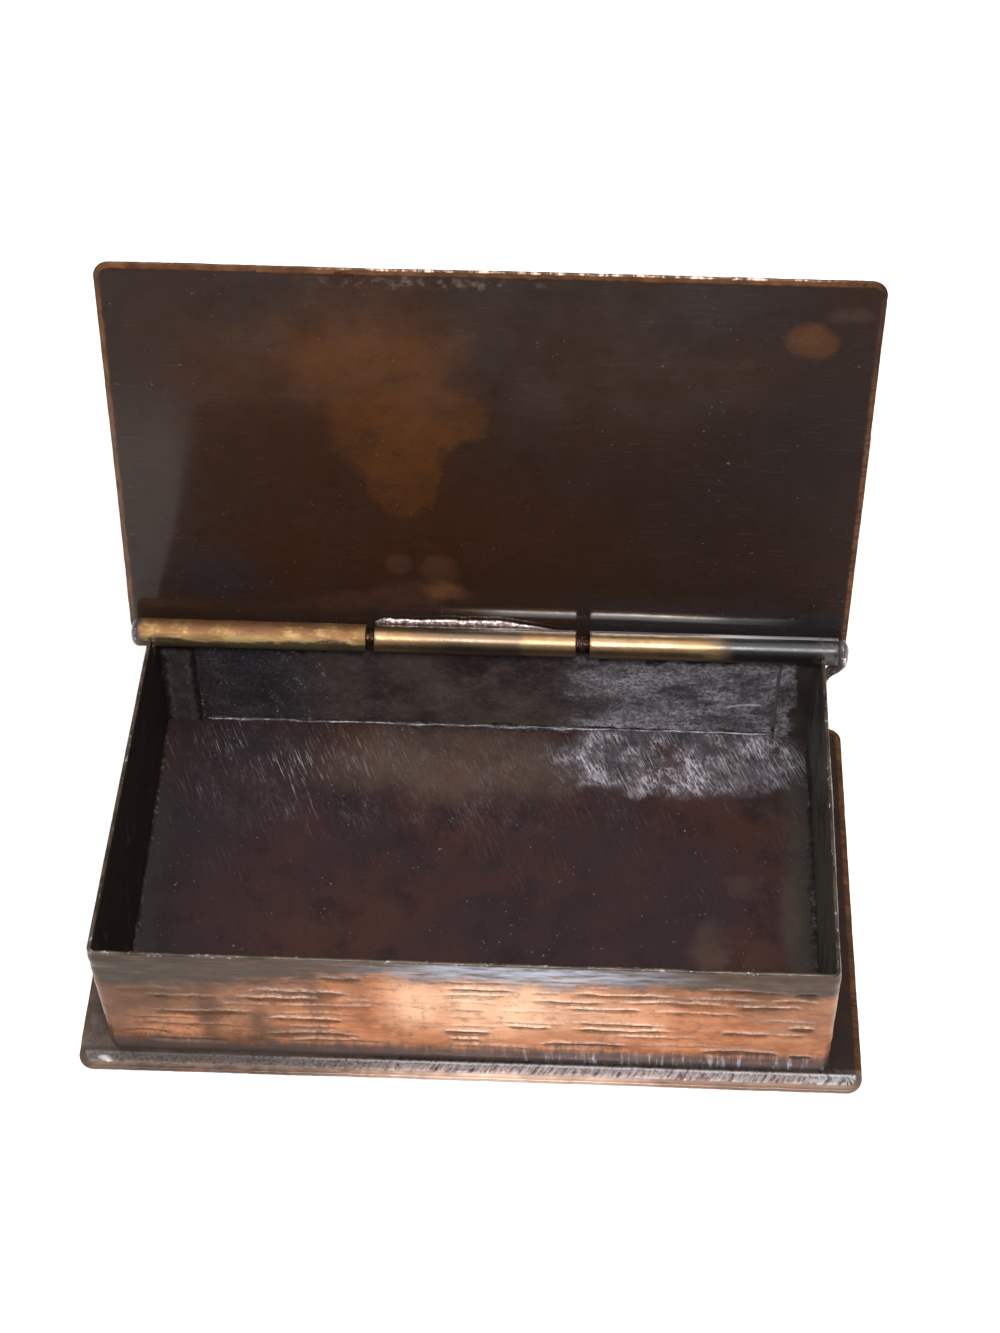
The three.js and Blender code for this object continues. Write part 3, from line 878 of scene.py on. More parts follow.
# Places on the open lid are millimetres right of its middle and up from the hinge axis
LID_STAINS = [
    # The first two are grey patina and partly a painted reflection of the pale floor over the upper corners
    Stain(-56, 79, 34, 14, 0.7, 12, 0.2, "grey_patina_and_reflection"),
    Stain(40, 80, 40, 12, 0.8, 12, 0.2, "grey_patina_and_reflection"),
    Stain(44, 42, 30, 30, 0.7, 16, 0.7, "dusk_patina"),
    Stain(-34, 54, 36, 30, 0.8, 14, 0.65, "umber"),
    Stain(-8, 24, 34, 14, 0.8, 14, 0.85, "umber"),
    Stain(-38, 17, 24, 10, 0.8, 10, 0.75, "umber"),
    Stain(38, 17, 38, 9, 0.8, 12, 0.5, "hinge_brown"),
    Stain(-45, 66, 14, 8, 0.7, 16, 0.28, "amber"),
    Stain(-24, 70, 15, 12, 0.75, 14, 0.6, "amber"),
    Stain(-21, 62, 15, 10, 0.45, 13, 0.55, "amber"),
    Stain(-12, 54, 12, 8, 0.12, 11, 0.55, "amber"),
    Stain(-19, 50, 11, 10.5, 0.25, 10, 0.65, "amber"),
    Stain(-17, 40, 7.4, 10.5, 0.12, 8, 0.7, "amber"),
    Stain(-24, 69, 14, 4.5, 0.7, 16, 0.5, "pale_amber"),
    Stain(-11, 51, 8, 4, 0.3, 12, 0.4, "pale_amber"),
    Stain(52, 66, 18, 7, 0.8, 12, 0.35, "umber"),
    Stain(24, 60, 14, 18, 0.8, 16, 0.35, "umber"),
    Stain(61.2, 74.6, 4.8, 3.9, 0.25, 3.6, 0.85, "oval_stain"),
    Stain(61.6, 74.9, 2.8, 2.4, 0.7, 3.4, 0.5, "pale_amber"),
    Stain(68, 80.5, 3.2, 1.4, 0.8, 6, 0.3, "floor_tan"),
    Stain(64, 55, 9, 14, 0.8, 8, 0.7, "black_patina"),
    Stain(-55, 13, 9, 7, 0.8, 6, 0.7, "blue_black"),
    Stain(-18, 17.4, 2.6, 2.6, 0.3, 2.2, 0.5, "pink_stain"),
    Stain(-10, 16, 3.9, 3.8, 0.22, 2.4, 0.6, "pink_stain"),
    Stain(-14, 9.5, 10, 2.6, 0.6, 10, 0.6, "pink_stain"),
    Stain(-9, 10.5, 3.5, 2.2, 0.6, 6, 0.6, "worn_copper"),
    Stain(-29, 7, 8, 2.2, 0.7, 8, 0.55, "pink_stain"),
]


def lid_place(pen):
    """Millimetres right of the lid's middle, up from the hinge axis and in from its plane."""
    return pen.place_mm(turn=(OPEN_ANGLE - math.pi, 0, 0), origin=AXIS)


def hinge_tone_and_reflection(pen, x, up):
    """Darkens the patina along the hinge: brown above the left tube, and at the right a blue-black band that
    is a painted reflection of the dark tubes in the polished lid.
    """
    left = pen.both(pen.rise(up, 11, 5), pen.rise(x, -20, -28))
    pen.lay("hinge_brown", left, 0.6)
    # Painted reflection: the dark tubes mirrored in the polished lid, as a blue-black band above the right
    # tubes
    right = pen.both(pen.rise(up, 11, 5), pen.rise(x, 14, 26))
    pen.lay("blue_black", right, 0.75)


def finish_lid_inside(pen):
    """The lid's inside: brown patina under old wax, stained amber, with worn copper edges.

    The wax is thickest at the left end, rubbed away at the right one, and polished along the hinge.
    """
    place = lid_place(pen)
    x, up, _ = pen.parts(place)
    pen.colour = pen.clouds(place, 0.028, "brown_patina", "dusk_patina", "deep_brown")
    lay_stains(pen, place, LID_STAINS)
    hinge_tone_and_reflection(pen, x, up)
    flecked = pen.noise(place, 2.4, 6, 0.72)
    pen.lay("deep_brown", pen.rise(flecked, 0.5, 0.7, 0.0, 0.35))
    brushed = (place, (6.0, 0.34, 1.0), 0.06)
    pen.lay("scratch_pale", pen.scratches(*brushed))
    smear = pen.haze(place, (9.0, 3.2, 1.0), 0.42)
    pen.lay("scratch_pale", smear, 0.1)
    scuffed = pen.spot(place, -12, 85.2, 20, 1.2, 0.5, 4)
    scuffs = pen.both(scuffed, pen.rise(pen.noise(place, 2.4, 4, 0.65), 0.5, 0.68))
    specks = pen.specks(place, 0.14)
    pen.lay("scratch_pale", scuffs, 0.4)
    pen.lay("frost", specks)
    # Where the lid's top rim gets painted highlight glints
    rubbed = pen.both(pen.rise(up, 86, 87.2), pen.between(x, -20, 52, 16))
    toothed = pen.both(pen.rise(x, 72.5, 73.2), pen.rise(up, 66, 56, 0.1, 0.6))
    metal = worn_edge(pen, place, 1.35, toothed, rubbed)
    dim = pen.both(pen.rise(x, 72.6, 73.2), pen.rise(up, 62, 69, 0.0, 0.6))
    pen.lay("dusk_patina", dim)
    smeared = pen.noise(place, 11, 6, 0.65)
    rough = pen.spread(smeared, 0.36, 0.52)
    wax = pen.both(pen.spread(smeared, 0.01, 0.085), pen.rise(x, 66, 36, 0.1, 1.0))
    thick = pen.both(pen.rise(x, -48, -64, 0.0, 0.22), pen.rise(up, 68, 42, 0.25, 1.0))
    wax = pen.either(wax, thick)
    polished = pen.both(pen.rise(up, 14, 9), pen.rise(x, 66, 56))
    wax = pen.either(wax, pen.both(polished, pen.rise(x, -14, 2)))
    lines = pen.scratches(*brushed, "Height")
    pen.shade(rough, metal, lines, 0.02, Specular_IOR_Level=0.06, Coat_Weight=wax, Coat_Roughness=0.12,
              Coat_IOR=1.75)


def finish_cover_outside(pen):
    """The covers' outsides: brown patina, mottled and rubbed, with worn copper edges."""
    place = pen.place_mm()
    pen.colour = pen.clouds(place, 0.045, "brown_patina", "umber", "deep_brown")
    rubbed = pen.haze(place, (7.0, 5.0, 5.0), 0.5)
    pen.lay("worn_copper", rubbed, 0.5)
    scratch = pen.scratches(place, (7.0, 0.3, 7.0), 0.3)
    pen.lay("worn_copper", scratch)
    # Worn edges, with a fifth of the painted highlight glints
    worn = worn_edge(pen, place, 2.2, 0.2, 0.2)
    metal = pen.either(worn, pen.both(rubbed, 0.6))
    rough = pen.spread(pen.noise(place, 14, 5, 0.6), 0.34, 0.5)
    pen.shade(rough, metal, pen.noise(place, 6, 4, 0.5), 0.06, Specular_IOR_Level=0.25)


# Places on the base are millimetres right of and back from its middle
FLOOR_STAINS = [
    Stain(-6, 33, 29, 9, 0.5, 10, 0.65, "floor_tan"),
    Stain(22, 4, 36, 15, 0.8, 18, 0.6, "floor_umber"),
    Stain(-52, 6, 13, 30, 0.7, 14, 0.7, "floor_umber"),
    Stain(-58, 22, 9, 15, 0.8, 9, 0.6, "blue_black"),
    Stain(-45, 36, 13, 6, 0.6, 8, 0.6, "blue_black"),
    Stain(24, 12, 9, 7, 0.8, 9, 0.5, "blue_black"),
    Stain(47, -15, 3.6, 7, 0.5, 10, 0.35, "floor_tan"),
    Stain(57.5, -15, 5, 5.5, 0.6, 8, 0.25, "pink_stain"),
    Stain(63.5, -5, 1.7, 8, 0.6, 4, 0.5, "floor_tan"),
    Stain(54, 2, 4, 2.2, 0.7, 12, 0.3, "floor_tan"),
    Stain(50, 16, 8, 4, 0.7, 8, 0.3, "umber"),
    Stain(54, 30, 9, 6, 0.7, 8, 0.6, "blue_black"),
    Stain(-65, -2, 5.5, 46, 0.8, 8, 0.5, "blue_black"),
    Stain(-67.5, -12, 3.0, 38, 0.7, 7, 0.42, "green_grey"),
    Stain(67, -2, 4.2, 46, 0.7, 6, 0.75, "green_grey"),
]


def floor_frost(pen, place, slanted, cut):
    """Where dried flux lies on the tray's floor: thick at the back right, thin along the rest of the back."""
    clouds = pen.rise(pen.noise(pen.shift("DIVIDE", slanted, (1.8, 1.0, 1.0)), 5.5, 7, 0.78), 0.42, 0.6)
    grain = pen.noise(pen.shift("DIVIDE", slanted, (2.8, 0.7, 1.0)), 0.8, 5, 0.75)
    drifts = pen.both(clouds, pen.rise(grain, 0.42, 0.62, 0.02, 1.0))
    smears = pen.haze(place, (6.0, 1.6, 1.0), 0.42)
    thick = pen.spot(place, 42, 35, 27, 9.5, 0.22, 8)
    thin = pen.both(pen.spot(place, -18, 30, 42, 15, 0.6, 9), 0.1)
    left = pen.both(pen.spot(place, -43, 31, 19, 10, 0.6, 8), 0.6)
    lines = pen.both(cut, pen.either(left, pen.both(thick, 0.8)))
    bare = pen.both(pen.spot(place, 55, 31, 8, 5, 0.7, 9), 0.75)
    hollows = pen.rise(pen.noise(place, 8, 5, 0.65), 0.44, 0.6, 0.0, 0.85)
    bare = pen.either(bare, hollows)
    cover = pen.both(pen.either(thick, thin), pen.rest(bare))
    haze = pen.both(pen.either(drifts, smears), cover)
    return pen.either(haze, lines), thick, hollows


def finish_base(pen):
    """The base's upper face: the tray's dark, scratched floor, and the filed margin outside the walls."""
    low, high = node_span("page_wall")
    place = pen.place_mm()
    x, y, _ = pen.parts(place)
    pen.colour = pen.clouds(place, 0.035, "floor_maroon", "floor_umber", "floor_dark")
    lay_stains(pen, place, FLOOR_STAINS)
    slanted = pen.place_mm(turn=(0, 0, math.radians(68)))
    cuts = (slanted, (5.0, 0.27, 1.0), 1.0)
    cut = pen.both(pen.scratches(*cuts), pen.rise(y, -12, 27, 0.2, 1.0))
    frost, thick, hollows = floor_frost(pen, place, slanted, cut)
    pen.lay("scratch_pale", cut, 0.2)
    cloudy = pen.rise(pen.noise(slanted, 5, 5, 0.65), 0.36, 0.62, 0.1, 0.5)
    pen.lay("blue_black", thick, hollows)
    pen.lay("frost_shade", thick, cloudy)
    pen.lay("frost", frost, 0.75)
    specks = pen.specks(place, 0.4)
    pen.lay("frost", specks)
    out_x = pen.less(pen.unsigned(x), high[0] - 0.4)
    out_y = pen.less(low[1] + 0.4, y)
    front = pen.rise(out_y, -0.2, 0.2)
    margin = pen.either(front, pen.rise(out_x, -0.2, 0.2))
    metal, lines = base_margin(pen, place, front, margin)
    rough = pen.spread(pen.noise(place, 9, 5, 0.6), 0.36, 0.52)
    height = pen.add(pen.scratches(*cuts, "Height"), lines)
    pen.shade(rough, metal, height, 0.035, Specular_IOR_Level=0.1)


def base_margin(pen, place, front, margin):
    """The margin outside the walls: silvery file marks along the front, dark brown at the ends, with painted
    light: a shadow line at the wall's foot, a highlight line just outside it, and highlights on the front
    corners and edge.
    """
    x, y, _ = pen.parts(place)
    along = pen.mark("along_edge")
    lean = pen.less(along, pen.times(y, 0.6))
    stroke = pen.place("ShaderNodeCombineXYZ", {0: lean, 1: pen.times(y, 0.25), 2: 0.0})
    lines = pen.noise(stroke, 0.9, 4, 0.65)
    side = pen.mix(pen.rise(pen.noise(place, 5, 3), 0.35, 0.65), "dusk_patina", "hinge_brown")
    bright = pen.rise(pen.add(x, pen.times(pen.noise(place, 14, 3), 40)), -30, 40, 0.5, 1)
    frosted = pen.noise(place, 0.6, 3, 0.75)
    lined = pen.rise(x, -45, 5, 0.2, 0.75)
    filed = pen.mix(lined, frosted, lines)
    silver = pen.both(pen.rise(filed, 0.36, 0.6), bright)
    # Painted highlights on the two front corners, laid as silver
    for corner in (-70.5, 66.5):
        rubbed = pen.spot(place, corner, -44.0, 1.3, 0.55, 0.6, 3)
        silver = pen.either(silver, pen.both(rubbed, 0.9))
    # Painted highlight: a bright line just outside the wall's foot
    waver = pen.times(pen.noise(place, 2.2, 5, 0.7), 0.6)
    ridge = pen.rise(pen.unsigned(pen.add(pen.add(y, 42.45), waver)), 0.3, 0.06)
    ridge = pen.both(ridge, pen.rise(frosted, 0.36, 0.56, 0.2, 1.0))
    filed = pen.mix(silver, "filed_grey", "filed_silver")
    filed = pen.mix(pen.both(ridge, pen.rise(x, -55, -15, 0.25, 0.9)), filed, "bright_solder_and_highlight")
    # Painted shadow: a dark line along the wall's foot
    seam = pen.rise(pen.add(y, pen.times(lines, 0.5)), -42.4, -41.9)
    filed = pen.mix(pen.both(seam, 0.9), filed, "black_patina")
    tone = pen.mix(front, side, filed)
    pen.lay(tone, margin)
    # Where the front edge gets painted highlight glints
    rubbed = pen.both(pen.spot(place, 8, -46, 30, 6, 0.6, 4), 0.4)
    toothed = pen.both(pen.rise(x, 74, 74.6), 0.45)
    worn = worn_edge(pen, place, 1.5, toothed, rubbed)
    dulled = pen.both(margin, pen.rise(pen.add(x, pen.times(y, 0.4)), -25, -60))
    pen.lay("filed_grey", dulled, 0.5)
    rubbed = pen.spread(pen.noise(place, 3, 5, 0.7), 0.05, 0.36)
    pen.lay("soft_copper", dulled, rubbed)
    # Painted highlight on the front left corner
    glint = pen.spot(place, -70.6, -44.1, 0.9, 0.4, 0.8, 3)
    pen.lay("bright_solder_and_highlight", glint)
    smooth = pen.both(pen.both(front, worn), pen.rise(x, -40, 0, 0.0, 2.0))
    pen.lay("soft_copper", smooth)
    # Painted highlight: a glare of near-white copper along the middle of the front edge
    glare = pen.both(pen.spot(place, 6, -46.4, 26, 1.8, 0.7, 5), worn)
    pen.lay("glint_copper", glare, 1.3)
    metal = pen.either(worn, pen.both(front, 0.7))
    return pen.both(metal, margin), pen.times(lines, pen.both(margin, lined))


# Places on the strip are millimetres from the middle of the front and up from the floor
PAGE_STAINS = [
    Stain(-56, 20, 18, 13, 0.7, 16, 0.9, "olive_copper"),
    Stain(-38, 25, 16, 6, 0.8, 12, 0.5, "smudge"),
    Stain(-63, 26, 12, 7, 0.7, 12, 0.8, "page_grey"),
    Stain(-66, 11, 7, 12, 0.7, 10, 0.7, "dull_copper"),
    Stain(-60, 17, 6, 5, 0.7, 10, 0.6, "smudge"),
    Stain(-55, 10, 9, 5, 0.6, 9, 0.7, "copper"),
    Stain(-64, 22, 4, 3, 0.7, 8, 0.6, "dull_copper"),
    Stain(-38, 8, 7, 5, 0.7, 8, 0.5, "olive_copper"),
    Stain(-49, 17, 2.2, 14, 0.8, 4, 1.0, "smudge"),
    Stain(-40, 12, 1.6, 7, 0.8, 4, 0.7, "smudge"),
    Stain(-28.4, 18, 1.8, 9, 0.8, 4, 0.9, "smudge"),
    Stain(-20, 22, 2.2, 8, 0.8, 5, 0.4, "smudge"),
    # The next three are painted highlights: pale copper across the middle of the front
    Stain(-10, 20, 5, 8, 0.7, 5, 0.6, "lit_copper"),
    Stain(6, 20, 13, 9, 0.7, 8, 0.9, "lit_copper"),
    Stain(27, 18, 10, 7, 0.7, 10, 0.4, "lit_copper"),
    Stain(62, 22, 9, 10, 0.7, 10, 0.6, "olive_copper"),
    Stain(46, 26, 14, 5, 0.7, 10, 0.55, "page_grey"),
]


def page_bands(pen, place, along, up, drawn):
    """Grey along the top, silvery in the middle, and a dark foot brushed upwards with silver at the right."""
    ragged = pen.noise(drawn, 4, 6, 0.75)
    wander = pen.waver(ragged, 15.0)
    lower = pen.add(wander, pen.rise(along, -20, -45, 0.0, 3.0))
    right = pen.rise(along, 34, 56, 0.0, 1.6)
    top = pen.rise(pen.add(up, pen.add(lower, right)), 25.5, 30.0)
    sheen = pen.spot(place, 11, 30.8, 23, 3.8, 0.7, 9)
    top = pen.either(top, pen.both(sheen, 0.9))
    streaks = pen.noise(pen.shift("MULTIPLY", place, (0.12, 1.0, 0.0)), 1.1, 5, 0.7)
    shine = pen.rise(streaks, 0.32, 0.62)
    dulled = pen.mix(pen.rise(streaks, 0.5, 0.7, 0, 0.6), "page_grey", "dull_copper")
    band = pen.mix(pen.both(sheen, shine), dulled, "page_silver")
    pen.lay(band, top, 0.92)
    upright = pen.noise(pen.shift("MULTIPLY", place, (1.0, 0.12, 0.0)), 1.3, 4, 0.65)
    height = pen.add(up, pen.waver(upright, 7.0))
    foot = pen.rise(height, 7.2, 4.0)
    silver = pen.both(pen.rise(upright, 0.52, 0.68), pen.rise(along, -5, 22))
    pen.lay(pen.mix(silver, "page_foot", "page_silver"), foot, 0.9)
    return pen.either(top, foot), ragged


def finish_page(pen):
    """The page edges: bright copper with dark chased lines, grey along the top and the foot, with painted
    highlights above the strokes and across the middle, and painted shade on the end walls.
    """
    place = pen.mark("on_strip", "Vector")
    along, up, _ = pen.parts(place)
    grain = pen.noise(place, 0.9, 3, 0.6)
    groove = pen.less(pen.mark("chased"), pen.times(pen.less(grain, 0.4), 0.5))
    drawn = pen.shift("MULTIPLY", place, (0.35, 1.0, 0.0))
    pen.colour = pen.clouds(drawn, 0.2, "copper", "deep_copper", "copper")
    lay_stains(pen, place, PAGE_STAINS)
    streak = pen.noise(pen.shift("MULTIPLY", place, (0.14, 1.0, 0.0)), 1.0, 5, 0.65)
    pen.lay("smudge", pen.rise(streak, 0.54, 0.72, 0.0, 0.55))
    blots = pen.rise(pen.noise(place, 3.0, 6, 0.75), 0.5, 0.68, 0.0, 0.45)
    pen.lay("smudge", blots, pen.rise(along, 20, -30, 0.95, 1.0))
    dirty = pen.haze(place, (6.0, 3.0, 1.0), 0.85)
    dirty = pen.both(dirty, pen.rise(along, -18, -50, 0.0, 1.0))
    pen.lay("smudge", dirty)
    # Painted highlight of near-white copper just above the strokes, where lit says
    lip_highlight = pen.both(pen.mark("lip_highlight"), pen.rise(grain, 0.3, 0.6))
    lit = pen.either(pen.between(along, -4, 34, 14), pen.rise(along, -60, -30, 0.2, 0.6))
    pen.lay("glint_copper", lip_highlight, lit)
    grey, ragged = page_bands(pen, place, along, up, drawn)
    # Painted shade: the outsides of the end walls darkened with brown where they turn away from the light
    ends = pen.rise(pen.unsigned(along), 70, 71.5)
    pen.lay("edge_brown", ends, 0.75)
    faded = pen.both(pen.spot(place, -54, 26, 22, 5, 0.6, 8), 0.8)
    groove = pen.both(groove, pen.rest(faded))
    inked = pen.mix(grey, "groove", "page_grey")
    pen.lay(inked, pen.rise(groove, 0.18, 0.6, 0, 0.82))
    pen.lay("black_patina", pen.rise(groove, 0.66, 1.0, 0, 0.65))
    for line, share in ((-13.2, 0.2), (-7.6, 0.4)):
        wavered = pen.add(along, pen.times(grain, 1.2))
        mark = pen.both(pen.between(wavered, line, line, 0.3), pen.between(up, 14, 19, 4))
        mark = pen.both(mark, pen.rise(grain, 0.35, 0.6, 0.0, share))
        pen.lay("groove", mark)
    rim = pen.rise(up, 32.55, 32.8)
    nicks = pen.rise(pen.noise(place, 1.6, 4, 0.65), 0.58, 0.7)
    rubbed = pen.mix(pen.rise(pen.noise(place, 5, 4), 0.35, 0.6), "page_grey", "rim_brown")
    pen.lay(pen.mix(pen.both(nicks, 0.7), rubbed, "frost"), rim)
    dark = pen.either(pen.rise(groove, 0.15, 0.7), pen.both(grey, 0.9))
    metal = pen.reckon("SUBTRACT", 0.9, pen.both(dark, 0.6))
    rough = pen.spread(ragged, 0.28, 0.46)
    pen.shade(rough, metal, streak, 0.07, Specular_IOR_Level=0.3)


def finish_wall_inside(pen):
    """The walls' insides: near black, greener at the right, with pale bloom, and olive by the spine."""
    place = pen.place_mm()
    x, y, up = pen.parts(place)
    right = pen.rise(x, 20, 66)
    tone = pen.mix(right, "black_patina", "bloom")
    shade = pen.mix(right, "black_patina", "green_grey")
    pen.colour = pen.clouds(place, 0.08, tone, shade, tone)
    bloom = pen.haze(place, (4.0, 6.0, 5.0), 0.5)
    bloom = pen.both(bloom, pen.rise(x, -20, 66, 0.5, 0.6))
    pen.lay("bloom", bloom)
    upright = pen.place_mm(turn=UPRIGHT)
    tab = pen.rise(y, 42.0, 42.4)
    wander = pen.waver(pen.noise(upright, 2.4, 5, 0.7), 4.0)
    ragged_x, ragged_up = pen.add(x, wander), pen.add(up, wander)
    patch = pen.both(pen.between(ragged_x, -67.4, -62.9, 1.0), pen.between(ragged_up, 1, 23.5, 1.2))
    patch = pen.both(patch, pen.spread(pen.noise(upright, 3, 5, 0.7), 0.25, 0.7))
    pen.lay("filed_grey", patch, tab)
    crust = pen.rise(pen.noise(upright, 1.2, 5, 0.75), 0.45, 0.65, 0.0, 0.6)
    for edge in (-67.2, -63.2):
        outline = pen.both(pen.between(ragged_x, edge, edge + 0.3, 0.5), crust)
        outline = pen.both(outline, pen.between(ragged_up, 1, 24, 1.0))
        pen.lay("frost_shade", outline, tab)
    folded = pen.both(tab, pen.rise(x, 50, 60))
    pen.lay("dusk_patina", folded, 0.8)
    wander = pen.waver(pen.noise(upright, 6, 5, 0.7), 10.0)
    spread = pen.rise(pen.add(x, wander), 65.6, 64.2)
    drifts = pen.both(pen.rise(pen.noise(upright, 6, 6, 0.72), 0.36, 0.64, 0.15, 0.8), spread)
    pen.lay("frost_shade", drifts, folded)
    grain = pen.rise(pen.noise(upright, 0.9, 5, 0.8), 0.4, 0.66, 0.0, 0.7)
    pen.lay("frost", pen.both(drifts, folded), grain)
    rim = pen.rise(up, 32.4, 32.7)
    pen.lay("rim_brown", rim)
    rough = pen.spread(pen.noise(place, 6, 5, 0.6), 0.4, 0.55)
    pen.shade(rough, pen.both(rim, 0.5), pen.noise(place, 1.2, 4), 0.04, Specular_IOR_Level=0.12)


def finish_spine(pen):
    """The spine: black at the left, brown in the middle and frosted with flux at the right inside."""
    _, high = node_span("spine_wall")
    place = pen.place_mm(turn=UPRIGHT)
    x, up, depth = pen.parts(place)
    inside = pen.rise(pen.unsigned(depth), high[1] - 0.2, high[1] - 0.4)
    middle = pen.mix(pen.between(x, -26, 16, 22), "blue_black", "spine_brown")
    pen.colour = pen.clouds(place, 0.06, middle, "floor_umber", middle)
    outer = pen.clouds(place, 0.05, "brown_patina", "umber", "edge_brown")
    drawn = pen.shift("DIVIDE", place, (1.7, 1.0, 1.0))
    clouds = pen.rise(pen.noise(drawn, 6, 7, 0.8), 0.36, 0.66, 0.05, 1.0)
    grain = pen.rise(pen.noise(place, 0.8, 5, 0.8), 0.36, 0.64, 0.05, 1.0)
    drifts = pen.both(clouds, grain)
    cloudy = pen.rise(clouds, 0.0, 1.0, 0.24, 0.66)
    slanted = pen.place_mm(turn=(-math.pi / 2, 0, math.radians(-25)))
    clusters = pen.haze(slanted, (2.2, 7.0, 1.0), 0.75)
    flecks = pen.both(clusters, pen.rise(pen.noise(place, 0.7, 2, 0.5), 0.54, 0.66, 0.1, 1.0))
    ragged = pen.add(x, pen.times(pen.noise(place, 7, 5, 0.65), 20))
    right = pen.rise(ragged, 22, 38)
    left = pen.both(pen.between(x, -60, -38, 9), 0.85)
    thin = pen.both(drifts, 0.1)
    flecks = pen.both(flecks, pen.either(left, pen.both(right, 0.8)))
    frost = pen.either(pen.both(drifts, right), flecks)
    frost = pen.either(frost, thin)
    pen.lay("frost_shade", right, cloudy)
    pen.lay("frost", frost, 0.7)
    crease = pen.between(x, 51.5, 57.5, 1.2)
    line = pen.add(up, pen.times(x, -0.1))
    line = pen.add(line, pen.times(pen.noise(place, 3, 3, 0.5), 2.4))
    fold = pen.rise(pen.unsigned(pen.less(line, 6.3)), 0.5, 0.1)
    fold = pen.both(crease, fold)
    pen.lay("frost", fold, 0.6)
    pen.colour = pen.mix(inside, outer, pen.colour)
    rough = pen.spread(pen.noise(place, 6, 5, 0.6), 0.38, 0.55)
    metal = pen.both(pen.rest(inside), 0.4)
    height = pen.add(pen.noise(place, 2.2, 5, 0.6), pen.times(frost, 0.4))
    pen.shade(rough, metal, height, 0.12, Specular_IOR_Level=0.2)


def finish_tube(pen):
    """The brass tubes: from left to right dull gold, polished and heat-stained, and blackened, with painted
    shade along their backs and a painted highlight line along their tops.
    """
    place = pen.place_mm(origin=AXIS)
    x, out, up = pen.parts(place)
    drawn = pen.shift("MULTIPLY", place, (0.25, 1.0, 1.0))
    blotch = pen.noise(place, 5, 5, 0.65)
    ragged = pen.waver(pen.noise(drawn, 3.0, 6, 0.72), 7.5)
    pen.colour = pen.clouds(drawn, 0.25, "brass", "tan_brass", "pale_brass")
    left = pen.rise(x, -23.6, -24.6)
    gilt = pen.both(pen.between(pen.add(x, ragged), -52, -35, 3), pen.rise(up, 2.4, 1.4))
    pen.lay("pale_brass", gilt, 0.6)
    pen.lay("polished_brass", pen.rise(left, 0, 1, 0.75, 0.0))
    browned = pen.both(pen.rise(up, 1.2, 2.4), pen.rise(blotch, 0.3, 0.55))
    pen.lay("heat_brown", browned, pen.rise(left, 0, 1, 0.45, 0.8))
    centre = pen.both(pen.rise(x, -22, -6), pen.rise(pen.add(x, ragged), 8.4, 6.4))
    pen.lay("heat_grey", centre, 0.8)
    # Darker along the tubes' undersides, ragged and reaching higher on the left tube
    edge = pen.add(up, pen.times(ragged, left))
    under = pen.rise(edge, pen.rise(left, 0, 1, 0.2, 1.8), pen.rise(left, 0, 1, -1.2, 0.8))
    pen.lay("soot_and_shade", under, 0.88)
    sooted = pen.rise(pen.add(x, ragged), 42, 52)
    pen.lay("soot_and_shade", sooted)
    # Painted shade: the back of each tube, which faces the lid, blackened
    back_shade = pen.rise(pen.add(out, pen.times(ragged, 0.15)), 1.5, 2.0)
    pen.lay("soot_and_shade", back_shade, 0.9)
    # Painted highlight: a thin bright line along the upper back of the middle and right tubes, fainter
    # towards the right
    line = pen.both(pen.between(out, 0.5, 1.6, 0.2), pen.rise(up, 1.0, 1.5))
    line = pen.both(line, pen.rise(pen.add(x, ragged), -4, 6))
    line = pen.both(line, pen.rise(x, 64, 44, 0.3, 0.8))
    pen.lay("bright_solder_and_highlight", line)
    lumped = pen.rise(pen.add(x, pen.times(ragged, 0.4)), 66.5, 70.0)
    lumped = pen.both(lumped, pen.rise(pen.noise(place, 2.0, 4, 0.6), 0.4, 0.62, 0.1, 0.8))
    ends = pen.either(pen.rise(x, -71.0, -72.2), lumped)
    pen.lay("filed_grey", ends, 0.9)
    satin = pen.add(pen.rise(left, 0, 1, 0.3, 0.5), pen.spread(blotch, 0.0, 0.1))
    rough = pen.less(satin, pen.times(sooted, 0.02))
    bright = pen.rise(left, 0, 1, 0.95, 0.7)
    dark = pen.either(pen.both(under, 0.5), pen.both(sooted, 0.95))
    dark = pen.either(dark, pen.both(back_shade, 0.8))
    metal = pen.reckon("SUBTRACT", bright, dark)
    pen.shade(rough, metal, pen.noise(place, 1.1, 4), 0.03, Specular_IOR_Level=0.5)


def finish_wire(pen):
    """The hinge wire: dark, oiled metal, brighter on its ridges."""
    place = pen.place_mm(origin=AXIS)
    pen.colour = pen.clouds(place, 0.6, "deep_brown", "soot_and_shade", "worn_copper")
    rough = pen.spread(pen.noise(place, 1.5, 4), 0.25, 0.45)
    metal = pen.spread(pen.noise(place, 2.5, 4), 0.6, 0.95)
    pen.shade(rough, metal, pen.noise(place, 0.6, 3), 0.03, Specular_IOR_Level=0.5)


